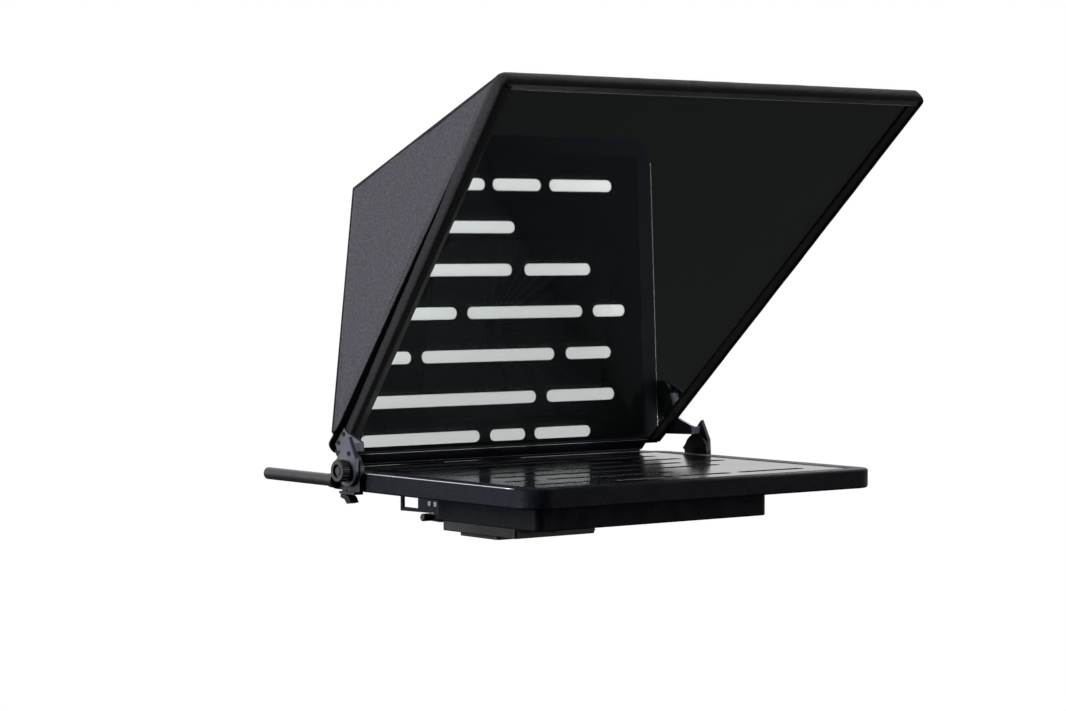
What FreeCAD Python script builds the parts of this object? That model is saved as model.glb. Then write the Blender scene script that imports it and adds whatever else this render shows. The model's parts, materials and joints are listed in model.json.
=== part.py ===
import FreeCAD, Part
import math
import os

# Studio teleprompter: a face-up monitor on a balance sled, with a hinged beam-splitter
# frame and cloth hood above it and a height-adjustable camera riser behind it.
# Millimetres. +X is to the right seen from the talent's side, +Y points away from the
# talent and +Z is up. The origin is the tripod socket in the underside of the plate.

Vec = FreeCAD.Vector
ALONG_X = Vec(1, 0, 0)
ALONG_Y = Vec(0, 1, 0)
ALONG_Z = Vec(0, 0, 1)

# ------------------------------------------------------------------ driving dimensions
SLIDE_GAP = 0.3                 # clearance of a flat slide, on each face
PIN_GAP = 0.05                  # radial clearance of a turning pin

# tripod plate, carriage and balance rail
SOCKET_R = 4.76                 # 3/8-16 tripod thread
SMALL_SOCKET_R = 3.18           # 1/4-20 thread beside it
SMALL_SOCKET_Y = 20.0
PLATE_HALF = 32.0
PLATE_TOP = 6.0
CARRIAGE_HALF = 50.0
CARRIAGE_FRONT = -83.0
CARRIAGE_REAR = 35.0
CARRIAGE_TOP = 21.4
DOVETAIL_FLOOR = 12.5
DOVETAIL_TOP_HALF = 20.0
DOVETAIL_FOOT_HALF = 25.0
RAIL_FRONT = -114.0
RAIL_REAR = 66.0
RAIL_TOP = 21.9

# monitor
MONITOR_HALF = 210.0
MONITOR_FRONT = -314.0
MONITOR_REAR = 11.0
MONITOR_TOP = 76.0
RIM_BOTTOM = 58.0
RIM_CORNER_R = 26.0
CORNER_SPAN = 28.0              # how far a corner piece reaches along each side
SEAM = 0.15                     # gap at each seam between rim pieces
BEZEL = 19.5                    # visible width of the rim
LIP = 3.0                       # how far the rim laps over the screen
LIP_THICK = 1.6
COVER_LEDGE = 8.2               # how far the back cover laps under the rim
COVER_THICK = 2.0
SCREEN_THICK = 2.2
BACKLIGHT_THICK = 10.0

# electronics housing under the monitor
HOUSING_HALF = 141.0
HOUSING_FRONT = -234.0
HOUSING_REAR = -75.0
HOUSING_BOTTOM = 29.5
HOUSING_R = 9.0
HOUSING_WALL = 2.0
KEY_Z = 44.0
KEY_R = 3.5
MENU_KEY_X = -62.0
SELECT_KEY_X = -48.0
ROCKER_X = -92.0
ROCKER_HALF = (9.0, 5.0)        # half width and half height of the rocker
ROCKER_TILT = 7.0
POWER_SOCKET_X = 30.0
VIDEO_SOCKET_X = (60.0, 82.0)

# tilt hinge of the mirror frame
HINGE_Y = -46.0
HINGE_Z = 78.0
HINGE_PIN_R = 4.0
BRACKET_IN = 212.0
BRACKET_OUT = 216.0
ARM_IN = 216.5
ARM_OUT = 220.5
EAR_IN = 203.3                  # the arm steps in to an ear on the frame's side
EAR_OUT = 206.5
HINGE_DISC_R = 15.0
TILT_KNOB_R = 10.5
TILT_KNOB_LENGTH = 11.0
PIVOT_CAP_R = 8.0

# balance rods beside the monitor
ROD_X = 219.5
ROD_Z = 67.5
ROD_R = 5.9
ROD_FRONT = -28.0
ROD_REAR = 89.0
ROD_SPIGOT_R = 5.4              # the rod steps down where it enters its socket
ROD_SOCKET_R = 7.0
ROD_SOCKET_REAR = -21.0
LEVER_X = 217.0
LEVER_PIVOT_Y = -42.0

# mirror frame: a flat trapezium on a slope, given by its own coordinates: x, v up the
# slope, and w from the reflecting face of the glass towards the talent
FRAME_TILT = 46.3               # degrees between the frame and the level
FRAME_ORIGIN_Y = 41.7           # where the glass face meets the middle plane at v = 0
FRAME_ORIGIN_Z = 41.8
FRAME_TOP_V = 534.1
FRAME_TOP_HALF = 252.8
FRAME_SIDE_SLOPE = 0.1144       # half width gained per millimetre of slope
FRAME_FRONT_W = 1.6
FRAME_BACK_W = -5.4
SIDE_BAR_WIDTH = 13.0
TOP_BAR_WIDTH = 8.5
BOTTOM_BAR_V = 52.0
SIDE_BAR_FOOT_V = 61.0
GLASS_FOOT_V = 67.0
BOTTOM_BAR_HALF = 183.0
GLASS_THICK = 3.0
GLASS_BITE = 4.0                # how far the glass enters the bars
GASKET = 0.6

# hood: cloth panels behind the mirror frame
HOOD_THICK = 1.6
HOOD_REAR_W = FRAME_BACK_W - 2.8    # the panels start just behind the frame's corner keys
HOOD_BACK_HALF = 212.0
HOOD_FOOT_V = 84.0
HOOD_TOP_Y = -47.0
HOOD_TOP_Z = 342.0
HOOD_FOOT_Y = -9.0
HOOD_FOOT_Z = 101.0
HOOD_BACK_LOW_Z = 111.5         # the back panel ends here, clear of the frame
LENS_Z = 208.0
LENS_HALF_X = 111.0
LENS_LOW_Z = 118.0
LENS_HIGH_Z = 294.0
LENS_CORNER_R = 30.0
SLEEVE_LENGTH = 45.0
SLEEVE_NECK = 22.0
SLEEVE_NECK_R = 11.0

# camera riser
CHEEK_OUT = 50.0
CHEEK_THICK = 3.0
CHEEK_FRONT = 36.0
CHEEK_REAR = 106.0
CHEEK_TOP = 150.0
RISER_BOLT_Y = 71.0
RISER_BOLT_Z = 120.0
RISER_BOLT_R = 3.1
RISER_TRAVEL = 20.0
PLATFORM_REAR = 130.0
PLATFORM_FLOOR = 157.0
PLATFORM_TOP = 161.0
CAMERA_PLATE_TOP = 170.0
CAMERA_PLATE_FRONT = 56.0
CAMERA_PLATE_REAR = 206.0
CAMERA_SCREW_Y = 140.0
CAMERA_SCREW_R = 3.17           # 1/4-20 camera thread
CAMERA_SHANK_R = 2.7            # the screw is relieved below its thread
CAMERA_SCREW_TOP = 175.5
CLAMP_Y = 43.0
CLAMP_Z = 19.0

os.makedirs("parts", exist_ok=True)


# ------------------------------------------------------------------ shared shapes
def block(x0, x1, y0, y1, z0, z1):
    """A box between two opposite corners."""
    return Part.makeBox(x1 - x0, y1 - y0, z1 - z0, Vec(x0, y0, z0))


def upright_edges(solid):
    """The edges of a solid that run straight up."""
    return [e for e in solid.Edges if e.BoundBox.XLength < 1e-6 and e.BoundBox.YLength < 1e-6]


def edges_at_height(solid, z):
    """The edges of a solid that lie in the level plane at height z."""
    return [e for e in solid.Edges
            if abs(e.BoundBox.ZMin - z) < 1e-6 and abs(e.BoundBox.ZMax - z) < 1e-6]


def rounded_block(x0, x1, y0, y1, z0, z1, radius):
    """A box with its four upright edges rounded."""
    solid = block(x0, x1, y0, y1, z0, z1)
    return solid.makeFillet(radius, upright_edges(solid))


def eased_block(x0, x1, y0, y1, z0, z1, radius, ease):
    """A rounded box with its top and bottom edges chamfered too."""
    solid = rounded_block(x0, x1, y0, y1, z0, z1, radius)
    return solid.makeChamfer(ease, edges_at_height(solid, z0) + edges_at_height(solid, z1))


def rod(start, direction, radius, length):
    """A round bar from a start point along a direction."""
    return Part.makeCylinder(radius, length, Vec(*start), direction)


def pipe(start, direction, outer, inner, length):
    """A round bar with a round hole right through it."""
    return rod(start, direction, outer, length).cut(rod(start, direction, inner, length))


def prism(points, shift):
    """A flat outline swept straight along a vector."""
    corners = [Vec(*p) for p in points]
    return Part.Face(Part.makePolygon(corners + [corners[0]])).extrude(Vec(*shift))


def side_plate(outline, x0, x1):
    """An outline of (Y, Z) points made into a plate between two X planes."""
    return prism([(x0, y, z) for y, z in outline], (x1 - x0, 0, 0))


def rail_section(outline, y0, y1):
    """An outline of (X, Z) points made into a bar between two Y planes."""
    return prism([(x, y0, z) for x, z in outline], (0, y1 - y0, 0))


def dovetail(top_half, foot_half, z0, z1):
    """The (X, Z) outline of a dovetail, widest at its foot."""
    return [(-foot_half, z0), (foot_half, z0), (top_half, z1), (-top_half, z1)]


def mirrored(shape):
    """The same shape on the other side of the object's middle plane."""
    return shape.mirror(Vec(0, 0, 0), ALONG_X)


def in_mirror_frame(shape):
    """Move a shape from the mirror frame's own coordinates (x, v, w) into place."""
    moved = shape.copy()
    moved.rotate(Vec(0, 0, 0), ALONG_X, 180 - FRAME_TILT)
    moved.translate(Vec(0, FRAME_ORIGIN_Y, FRAME_ORIGIN_Z))
    return moved


def slope_point(v, w):
    """The (Y, Z) place of a point given by the mirror frame's v and w."""
    tilt = math.radians(FRAME_TILT)
    return (FRAME_ORIGIN_Y - v * math.cos(tilt) - w * math.sin(tilt),
            FRAME_ORIGIN_Z + v * math.sin(tilt) - w * math.cos(tilt))


def frame_half(v):
    """Half width of the mirror frame at height v up its slope."""
    return FRAME_TOP_HALF - (FRAME_TOP_V - v) * FRAME_SIDE_SLOPE


def trapezium(v0, v1, inset, w0, w1):
    """A trapezium that follows the mirror frame's sides, set in by a margin."""
    left_right = [(-frame_half(v0) + inset, v0, w0), (frame_half(v0) - inset, v0, w0),
                  (frame_half(v1) - inset, v1, w0), (-frame_half(v1) + inset, v1, w0)]
    return prism(left_right, (0, 0, w1 - w0))


def fluted_knob(start, direction, radius, length, flutes, hub_radius=0.0, hub_length=0.0):
    """A round knob with grip flutes, and a smaller hub on the side it clamps."""
    axis = Vec(direction)
    body = rod(start, axis, radius, length)
    body = body.makeChamfer(0.8, [e for e in body.Edges if e.Curve.TypeId == "Part::GeomCircle"])
    side = Vec(0, 1, 0) if abs(axis.x) > 0.5 else Vec(1, 0, 0)
    groove_r = radius * 0.12
    for i in range(flutes):
        turn = FreeCAD.Rotation(axis, 360.0 * i / flutes)
        place = Vec(*start) + turn.multVec(side) * (radius + groove_r * 0.35)
        body = body.cut(Part.makeCylinder(groove_r, length, place, axis))
    if hub_length > 0:
        hub_start = Vec(*start) - axis * hub_length
        body = body.fuse(Part.makeCylinder(hub_radius, hub_length + 0.5, hub_start, axis))
    return body.removeSplitter()


def cap_screw(head_face, direction, head_r, head_length, shank_r=0.0, shank_length=0.0):
    """A socket-head screw; head_face is the centre of the seat under its head."""
    axis = Vec(direction)
    seat = Vec(*head_face)
    screw = Part.makeCylinder(head_r, head_length, seat, axis)
    if shank_length > 0:
        screw = screw.fuse(Part.makeCylinder(shank_r, shank_length, seat - axis * shank_length, axis))
    socket = Part.makeCylinder(head_r * 0.5, head_length * 0.6, seat + axis * (head_length * 0.45), axis)
    return screw.cut(socket).removeSplitter()


def save(node, *solids):
    """Write one node, made of one solid or of several separate ones."""
    shape = solids[0] if len(solids) == 1 else Part.makeCompound(list(solids))
    shape.exportStep("parts/" + node + ".step")


def save_pair(name, left):
    """Write a left-hand solid and its mirror image as two nodes."""
    save(name + "_left", left)
    save(name + "_right", mirrored(left))


# ------------------------------------------------------------------ base and balance rail
def make_tripod_plate():
    plate = eased_block(-PLATE_HALF, PLATE_HALF, -PLATE_HALF, PLATE_HALF, 0, PLATE_TOP, 5.0, 0.6)
    plate = plate.cut(rod((0, 0, -1), ALONG_Z, SOCKET_R, PLATE_TOP + 2))
    plate = plate.cut(rod((0, SMALL_SOCKET_Y, -1), ALONG_Z, SMALL_SOCKET_R, PLATE_TOP + 2))
    for x, y in carriage_screw_places():
        plate = plate.cut(rod((x, y, -1), ALONG_Z, 2.0, PLATE_TOP + 2))
        plate = plate.cut(rod((x, y, -1), ALONG_Z, 3.8, 4.0))
    save("tripod_plate", plate)


def carriage_screw_places():
    return [(x, y) for x in (-24.0, 24.0) for y in (-24.0, 24.0)]


def make_base_carriage():
    body = eased_block(-CARRIAGE_HALF, CARRIAGE_HALF, CARRIAGE_FRONT, CARRIAGE_REAR,
                       PLATE_TOP, CARRIAGE_TOP, 3.0, 0.8)
    groove = dovetail(DOVETAIL_TOP_HALF, DOVETAIL_FOOT_HALF, DOVETAIL_FLOOR, CARRIAGE_TOP + 0.01)
    body = body.cut(rail_section(groove, CARRIAGE_FRONT - 1, CARRIAGE_REAR + 1))
    body = body.cut(rod((0, 0, PLATE_TOP - 1), ALONG_Z, SOCKET_R + 1.0, 5.0))
    body = body.cut(rod((0, SMALL_SOCKET_Y, PLATE_TOP - 1), ALONG_Z, SMALL_SOCKET_R + 1.0, 5.0))
    body = body.cut(rod((CARRIAGE_HALF - 32, -24.0, 17.0), ALONG_X, 3.05, 33.0))
    for x, y in carriage_screw_places():
        body = body.cut(rod((x, y, PLATE_TOP - 1), ALONG_Z, 2.0, 5.0))
    save("base_carriage", body)


def make_carriage_screws():
    screws = []
    for x, y in carriage_screw_places():
        screws.append(cap_screw((x, y, 3.0), -ALONG_Z, 3.6, 2.6, 1.95, 6.0))
    # stop pin in the carriage's left flank
    screws.append(cap_screw((-CARRIAGE_HALF, -20.0, 18.0), -ALONG_X, 2.6, 1.2))
    save("carriage_screws", *screws)


def make_rail_lock_knob():
    knob = fluted_knob((CARRIAGE_HALF + 3.5, -24.0, 17.0), ALONG_X, 9.0, 14.0, 14, 5.5, 3.0)
    stud = rod((CARRIAGE_HALF - 26.0, -24.0, 17.0), ALONG_X, 3.0, 30.0)
    save("rail_lock_knob", knob.fuse(stud).removeSplitter())


def rail_outline():
    return dovetail(DOVETAIL_TOP_HALF - 0.35, DOVETAIL_FOOT_HALF - 0.35, DOVETAIL_FLOOR + SLIDE_GAP, RAIL_TOP)


def make_base_rail():
    save("base_rail", rail_section(rail_outline(), RAIL_FRONT, RAIL_REAR))


def support_screw_places():
    return [(x, y) for x in (-42.0, 42.0) for y in (-106.0, -86.0)]


def make_monitor_support_plate():
    plate = eased_block(-CARRIAGE_HALF, CARRIAGE_HALF, RAIL_FRONT, -2.0,
                        RAIL_TOP, HOUSING_BOTTOM, 4.0, 0.8)
    plate = plate.cut(rounded_block(-14, 14, -66, -16, RAIL_TOP - 1, HOUSING_BOTTOM + 1, 6.0))
    for x, y in support_screw_places():
        plate = plate.cut(rod((x, y, RAIL_TOP - 1), ALONG_Z, 3.4, 2.8))
    save("monitor_support_plate", plate)


def make_monitor_bracket():
    """An upturned channel between the support plate and the monitor's back cover."""
    front, rear = HOUSING_REAR + 4.0, -8.0
    channel = block(-46, 46, front, rear, HOUSING_BOTTOM, RIM_BOTTOM)
    channel = channel.cut(block(-41, 41, front - 1, rear + 1, HOUSING_BOTTOM - 1, RIM_BOTTOM - 5))
    for side in (-1, 1):
        x0, x1 = sorted((side * 46.0, side * 60.0))
        channel = channel.fuse(block(x0, x1, front, rear, RIM_BOTTOM - 4, RIM_BOTTOM))
        channel = channel.cut(rod((side * 53.0, -40, RIM_BOTTOM - 5), ALONG_Z, 2.0, 6.0))
    save("monitor_bracket", channel.removeSplitter())


# ------------------------------------------------------------------ monitor
def rim_ring():
    """The whole rim before it is divided, with its recess for screen and cover."""
    ring = eased_block(-MONITOR_HALF, MONITOR_HALF, MONITOR_FRONT, MONITOR_REAR,
                       RIM_BOTTOM, MONITOR_TOP, RIM_CORNER_R, 1.4)

    def inner(inset, z0, z1):
        return block(-MONITOR_HALF + inset, MONITOR_HALF - inset,
                     MONITOR_FRONT + inset, MONITOR_REAR - inset, z0, z1)

    ring = ring.cut(inner(BEZEL, RIM_BOTTOM - 1, MONITOR_TOP + 1))
    ring = ring.cut(inner(BEZEL - LIP, RIM_BOTTOM - 1, MONITOR_TOP - LIP_THICK))
    return ring.cut(inner(BEZEL - COVER_LEDGE, RIM_BOTTOM - 1, RIM_BOTTOM + COVER_THICK))


def make_rim():
    ring = rim_ring()
    far = MONITOR_HALF + 10
    z0, z1 = RIM_BOTTOM - 5, MONITOR_TOP + 5
    x_seam = MONITOR_HALF - CORNER_SPAN
    front_seam = MONITOR_FRONT + CORNER_SPAN
    rear_seam = MONITOR_REAR - CORNER_SPAN
    middle = (MONITOR_FRONT + MONITOR_REAR) / 2
    bar = x_seam - SEAM
    save("rim_front", ring.common(block(-bar, bar, MONITOR_FRONT - 5, middle, z0, z1)))
    save("rim_rear", ring.common(block(-bar, bar, middle, MONITOR_REAR + 5, z0, z1)))
    left = ring.common(block(-far, 0, front_seam + SEAM, rear_seam - SEAM, z0, z1))
    save_pair("rim_side", left)
    corners = []
    for x0, x1 in ((-far, -x_seam), (x_seam, far)):
        corners.append(ring.common(block(x0, x1, MONITOR_FRONT - 5, front_seam, z0, z1)))
        corners.append(ring.common(block(x0, x1, rear_seam, MONITOR_REAR + 5, z0, z1)))
    save("rim_corners", *corners)


def screen_layer(z0, z1, inset):
    return block(-MONITOR_HALF + inset, MONITOR_HALF - inset,
                 MONITOR_FRONT + inset, MONITOR_REAR - inset, z0, z1)


def make_screen_and_backlight():
    screen_top = MONITOR_TOP - LIP_THICK
    screen_low = screen_top - SCREEN_THICK
    save("lcd_panel", screen_layer(screen_low, screen_top, BEZEL - LIP))
    tray = screen_layer(screen_low - BACKLIGHT_THICK, screen_low, BEZEL - LIP + 0.2)
    save("backlight_unit", tray)


def cover_screw_places():
    side = MONITOR_HALF - BEZEL + COVER_LEDGE - 3.6
    front = MONITOR_FRONT + BEZEL - COVER_LEDGE + 3.6
    rear = MONITOR_REAR - BEZEL + COVER_LEDGE - 3.6
    return ([(x, y) for x in (-140, 0, 140) for y in (front, rear)]
            + [(x, y) for x in (-side, side) for y in (-230, -75)])


def make_back_cover():
    cover = screen_layer(RIM_BOTTOM, RIM_BOTTOM + COVER_THICK, BEZEL - COVER_LEDGE + 0.2)
    for row in range(9):
        y = -200.0 + row * 12.0
        for x in (-176.0, 152.0):
            cover = cover.cut(block(x, x + 24, y, y + 4, RIM_BOTTOM - 1, RIM_BOTTOM + COVER_THICK + 1))
    save("monitor_back_cover", cover)


def make_chassis_screws():
    screws = []
    for x, y in cover_screw_places():
        screws.append(cap_screw((x, y, RIM_BOTTOM), -ALONG_Z, 2.8, 1.2))
    for side in (-1, 1):
        for y in (-60.0, -20.0):
            screws.append(cap_screw((side * 53.0, y, RIM_BOTTOM - 4), -ALONG_Z, 3.2, 2.2))
        for y in (CLAMP_Y + 2.0, CLAMP_Y + 12.0):
            screws.append(cap_screw((side * CHEEK_OUT, y, 31.0), ALONG_X * side, 2.4, 1.4))
    for x, y in support_screw_places():
        screws.append(cap_screw((x, y, RAIL_TOP + 1.8), -ALONG_Z, 3.0, 1.4))
    save("chassis_screws", *screws)


def make_electronics_housing():
    shell = rounded_block(-HOUSING_HALF, HOUSING_HALF, HOUSING_FRONT, HOUSING_REAR,
                          HOUSING_BOTTOM, RIM_BOTTOM, HOUSING_R)
    shell = shell.makeFillet(1.2, edges_at_height(shell, HOUSING_BOTTOM))
    wall = HOUSING_WALL
    shell = shell.cut(rounded_block(-HOUSING_HALF + wall, HOUSING_HALF - wall,
                                    HOUSING_FRONT + wall, HOUSING_REAR - wall,
                                    HOUSING_BOTTOM + wall, RIM_BOTTOM + 1, HOUSING_R - wall))
    for column in range(12):
        x = -112.0 + column * 9.0
        shell = shell.cut(block(x, x + 4, -222, -186, HOUSING_BOTTOM - 1, HOUSING_BOTTOM + wall + 1))
    for x in (MENU_KEY_X, SELECT_KEY_X):
        shell = shell.cut(rod((x, HOUSING_REAR - 5, KEY_Z), ALONG_Y, KEY_R + 0.25, 7.0))
    half_x, half_z = ROCKER_HALF
    shell = shell.cut(block(ROCKER_X - half_x - 0.8, ROCKER_X + half_x + 0.8,
                            HOUSING_REAR - 5, HOUSING_REAR + 1, KEY_Z - half_z - 0.4, KEY_Z + half_z + 0.4))
    shell = shell.cut(rod((POWER_SOCKET_X, HOUSING_REAR - 5, KEY_Z), ALONG_Y, 5.0, 7.0))
    for x in VIDEO_SOCKET_X:
        shell = shell.cut(rod((x, HOUSING_REAR - 5, KEY_Z), ALONG_Y, 4.8, 7.0))
    save("electronics_housing", shell)


def make_boards():
    floor = HOUSING_BOTTOM + HOUSING_WALL + 3.5
    driver = block(-34, 126, -214, -96, floor, floor + 1.6)
    for x in (-20.0, 18.0, 56.0):
        driver = driver.fuse(block(x, x + 22, -180, -158, floor + 1.6, floor + 4.0))
        driver = driver.fuse(rod((x + 8, -126, floor), ALONG_Z, 4.0, 9.0))
    for x in (-30.0, 122.0):
        for y in (-210.0, -100.0):
            driver = driver.fuse(rod((x, y, HOUSING_BOTTOM + HOUSING_WALL), ALONG_Z, 2.2, 4.0))
    save("driver_board", driver.removeSplitter())
    power = block(-130, -44, -214, -108, floor, floor + 1.6)
    power = power.fuse(block(-120, -96, -190, -160, floor + 1.6, floor + 16))
    power = power.fuse(rod((-70, -190, floor), ALONG_Z, 9.0, 18.0))
    power = power.fuse(rod((-70, -150, floor), ALONG_Z, 7.0, 14.0))
    for x in (-126.0, -48.0):
        for y in (-210.0, -112.0):
            power = power.fuse(rod((x, y, HOUSING_BOTTOM + HOUSING_WALL), ALONG_Z, 2.2, 4.0))
    save("power_board", power.removeSplitter())


def make_sockets():
    inner = HOUSING_REAR - HOUSING_WALL
    jack = rod((POWER_SOCKET_X, inner - 12, KEY_Z), ALONG_Y, 6.5, 12.0)
    jack = jack.fuse(rod((POWER_SOCKET_X, inner - 0.5, KEY_Z), ALONG_Y, 4.95, HOUSING_WALL + 1.5))
    jack = jack.cut(rod((POWER_SOCKET_X, inner - 8, KEY_Z), ALONG_Y, 2.8, 20.0))
    save("power_socket", jack.removeSplitter())
    sockets = []
    for x in VIDEO_SOCKET_X:
        socket = rod((x, inner - 8, KEY_Z), ALONG_Y, 6.5, 8.0)
        socket = socket.fuse(rod((x, inner - 0.5, KEY_Z), ALONG_Y, 4.75, HOUSING_WALL + 12.5))
        socket = socket.cut(rod((x, HOUSING_REAR + 2, KEY_Z), ALONG_Y, 3.5, 20.0))
        socket = socket.fuse(rod((x - 5.6, HOUSING_REAR + 8, KEY_Z), ALONG_X, 0.9, 11.2))
        socket = socket.cut(rod((x, HOUSING_REAR + 2, KEY_Z), ALONG_Y, 3.5, 20.0))
        sockets.append(socket.fuse(rod((x, HOUSING_REAR - 2, KEY_Z), ALONG_Y, 0.8, 10.0)).removeSplitter())
    save("video_sockets", *sockets)


def make_keys():
    for name, x in (("menu_key", MENU_KEY_X), ("select_key", SELECT_KEY_X)):
        key = rod((x, HOUSING_REAR - 3.0, KEY_Z), ALONG_Y, KEY_R, 4.6)
        flange = rod((x, HOUSING_REAR - HOUSING_WALL - 1.6, KEY_Z), ALONG_Y, KEY_R + 1.2, 1.4)
        save(name, key.fuse(flange).removeSplitter())
    half_x, half_z = ROCKER_HALF
    paddle = prism([(-half_x, -4.2, -half_z), (half_x, -4.2, -half_z), (half_x, 1.8, -half_z),
                    (0, 0.6, -half_z), (-half_x, 1.8, -half_z)], (0, 0, 2 * half_z))
    paddle.rotate(Vec(0, 0, 0), ALONG_Z, -ROCKER_TILT)
    paddle.translate(Vec(ROCKER_X, HOUSING_REAR - 1.0, KEY_Z))
    save("power_rocker", paddle)


# ------------------------------------------------------------------ brackets, rods and levers
def make_side_brackets():
    outline = [(-61, 56), (-36, 56), (ROD_FRONT - 2, 60), (ROD_FRONT - 2, 74), (-33, 84), (-58, 88), (-61, 80)]
    plate = side_plate(outline, -BRACKET_OUT, -BRACKET_IN)
    plate = plate.fuse(rod((-BRACKET_OUT, HINGE_Y, HINGE_Z), ALONG_X, HINGE_DISC_R + 2.0,
                           BRACKET_OUT - BRACKET_IN))
    plate = plate.fuse(block(-BRACKET_IN - 0.01, -MONITOR_HALF, -60, -32, 60, 72))
    plate = plate.fuse(block(-222, -BRACKET_IN, -61, -36, 56, 58.4))
    plate = plate.cut(rod((-BRACKET_OUT - 1, HINGE_Y, HINGE_Z), ALONG_X, HINGE_PIN_R + PIN_GAP, 6.0))
    plate = plate.cut(rod((-LEVER_X, LEVER_PIVOT_Y, 55), ALONG_Z, 2.55, 5.0))
    save_pair("side_bracket", plate.removeSplitter())


def make_rods():
    length = ROD_SOCKET_REAR - ROD_FRONT
    bar = rod((-ROD_X, ROD_SOCKET_REAR, ROD_Z), ALONG_Y, ROD_R, ROD_REAR - ROD_SOCKET_REAR)
    bar = bar.makeChamfer(0.8, [e for e in bar.Edges if e.BoundBox.YMin > ROD_REAR - 1e-4])
    bar = bar.fuse(rod((-ROD_X, ROD_FRONT, ROD_Z), ALONG_Y, ROD_SPIGOT_R, length + 0.5))
    save_pair("rod", bar.removeSplitter())
    socket = rod((-ROD_X, ROD_FRONT, ROD_Z), ALONG_Y, ROD_SOCKET_R, length)
    socket = socket.fuse(block(-BRACKET_OUT, -MONITOR_HALF, ROD_FRONT - 2, ROD_SOCKET_REAR, 61, 73))
    socket = socket.cut(rod((-ROD_X, ROD_FRONT, ROD_Z), ALONG_Y, ROD_SPIGOT_R, length + 1))
    save_pair("rod_socket", socket.removeSplitter())


def make_rod_clamp_levers():
    outline = [(-37.5, 55.7), (-46, 55.7), (-51, 53.5), (-55, 48.5), (-48, 47.0), (-44, 51.0), (-37.5, 52.5)]
    lever = side_plate(outline, -LEVER_X - 4.5, -LEVER_X + 4.5)
    lever = lever.fuse(rod((-LEVER_X, LEVER_PIVOT_Y, 54), ALONG_Z, 2.5, 4.4))
    save_pair("rod_clamp_lever", lever.removeSplitter())


# ------------------------------------------------------------------ mirror frame and hinge
def frame_groove():
    """The channel in the bars that takes the glass in its gasket."""
    edge = GLASS_BITE + GASKET
    return trapezium(GLASS_FOOT_V - edge, FRAME_TOP_V - TOP_BAR_WIDTH + edge, SIDE_BAR_WIDTH - edge,
                     -GLASS_THICK - GASKET, GASKET)


def make_frame_bars():
    inner_top = FRAME_TOP_V - TOP_BAR_WIDTH
    opening = trapezium(GLASS_FOOT_V, inner_top, SIDE_BAR_WIDTH, FRAME_BACK_W - 1, FRAME_FRONT_W + 1)
    ring = trapezium(SIDE_BAR_FOOT_V, FRAME_TOP_V, 0, FRAME_BACK_W, FRAME_FRONT_W)
    ring = ring.cut(opening).cut(frame_groove())
    far = FRAME_TOP_HALF + 10
    whole_w = (FRAME_BACK_W - 5, FRAME_FRONT_W + 5)
    top = ring.common(block(-far, far, inner_top + 0.1, FRAME_TOP_V + 5, *whole_w))
    upright = [e for e in top.Edges
               if e.BoundBox.XLength < 1e-6 and e.BoundBox.YLength < 1e-6
               and e.BoundBox.YMin > FRAME_TOP_V - 1e-3]
    save("frame_top_bar", in_mirror_frame(top.makeFillet(5.0, upright)))
    side = ring.common(block(-far, 0, GLASS_FOOT_V + 0.1, inner_top - 0.1, *whole_w))
    save_pair("frame_side_bar", in_mirror_frame(side))
    cross = ring.common(block(-far, far, SIDE_BAR_FOOT_V - 1, GLASS_FOOT_V, *whole_w))
    cross = cross.fuse(block(-BOTTOM_BAR_HALF, BOTTOM_BAR_HALF, BOTTOM_BAR_V, SIDE_BAR_FOOT_V,
                             FRAME_BACK_W, FRAME_FRONT_W))
    save("frame_bottom_bar", in_mirror_frame(cross.removeSplitter()))


def make_corner_keys():
    """L-shaped keys laid on the back of the frame's upper corners and down its lower ones."""
    keys = []
    back = FRAME_BACK_W - 1.5
    for v0, v1, foot_v in ((FRAME_TOP_V - 44.0, FRAME_TOP_V - 2.0, FRAME_TOP_V - 8.0),
                           (SIDE_BAR_FOOT_V + 1.0, SIDE_BAR_FOOT_V + 36.0, SIDE_BAR_FOOT_V + 1.0)):
        x_out = frame_half(v0) - 2.0
        upright = block(-x_out, -x_out + 8, v0, v1, back, FRAME_BACK_W)
        foot = block(-x_out, -x_out + 40, foot_v, foot_v + 5, back, FRAME_BACK_W)
        key = in_mirror_frame(upright.fuse(foot).removeSplitter())
        keys += [key, mirrored(key)]
    save("corner_keys", *keys)


def make_glass():
    foot = GLASS_FOOT_V - GLASS_BITE
    top = FRAME_TOP_V - TOP_BAR_WIDTH + GLASS_BITE
    inset = SIDE_BAR_WIDTH - GLASS_BITE
    glass = trapezium(foot, top, inset, -GLASS_THICK, 0)
    save("beam_splitter_glass", in_mirror_frame(glass))
    jacket = trapezium(foot - GASKET, top + GASKET, inset - GASKET, -GLASS_THICK - GASKET, GASKET)
    jacket = jacket.cut(glass)
    window = trapezium(GLASS_FOOT_V + 0.8, FRAME_TOP_V - TOP_BAR_WIDTH - 0.8, SIDE_BAR_WIDTH + 0.8, -20, 20)
    save("glass_gasket", in_mirror_frame(jacket.cut(window)))


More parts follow.
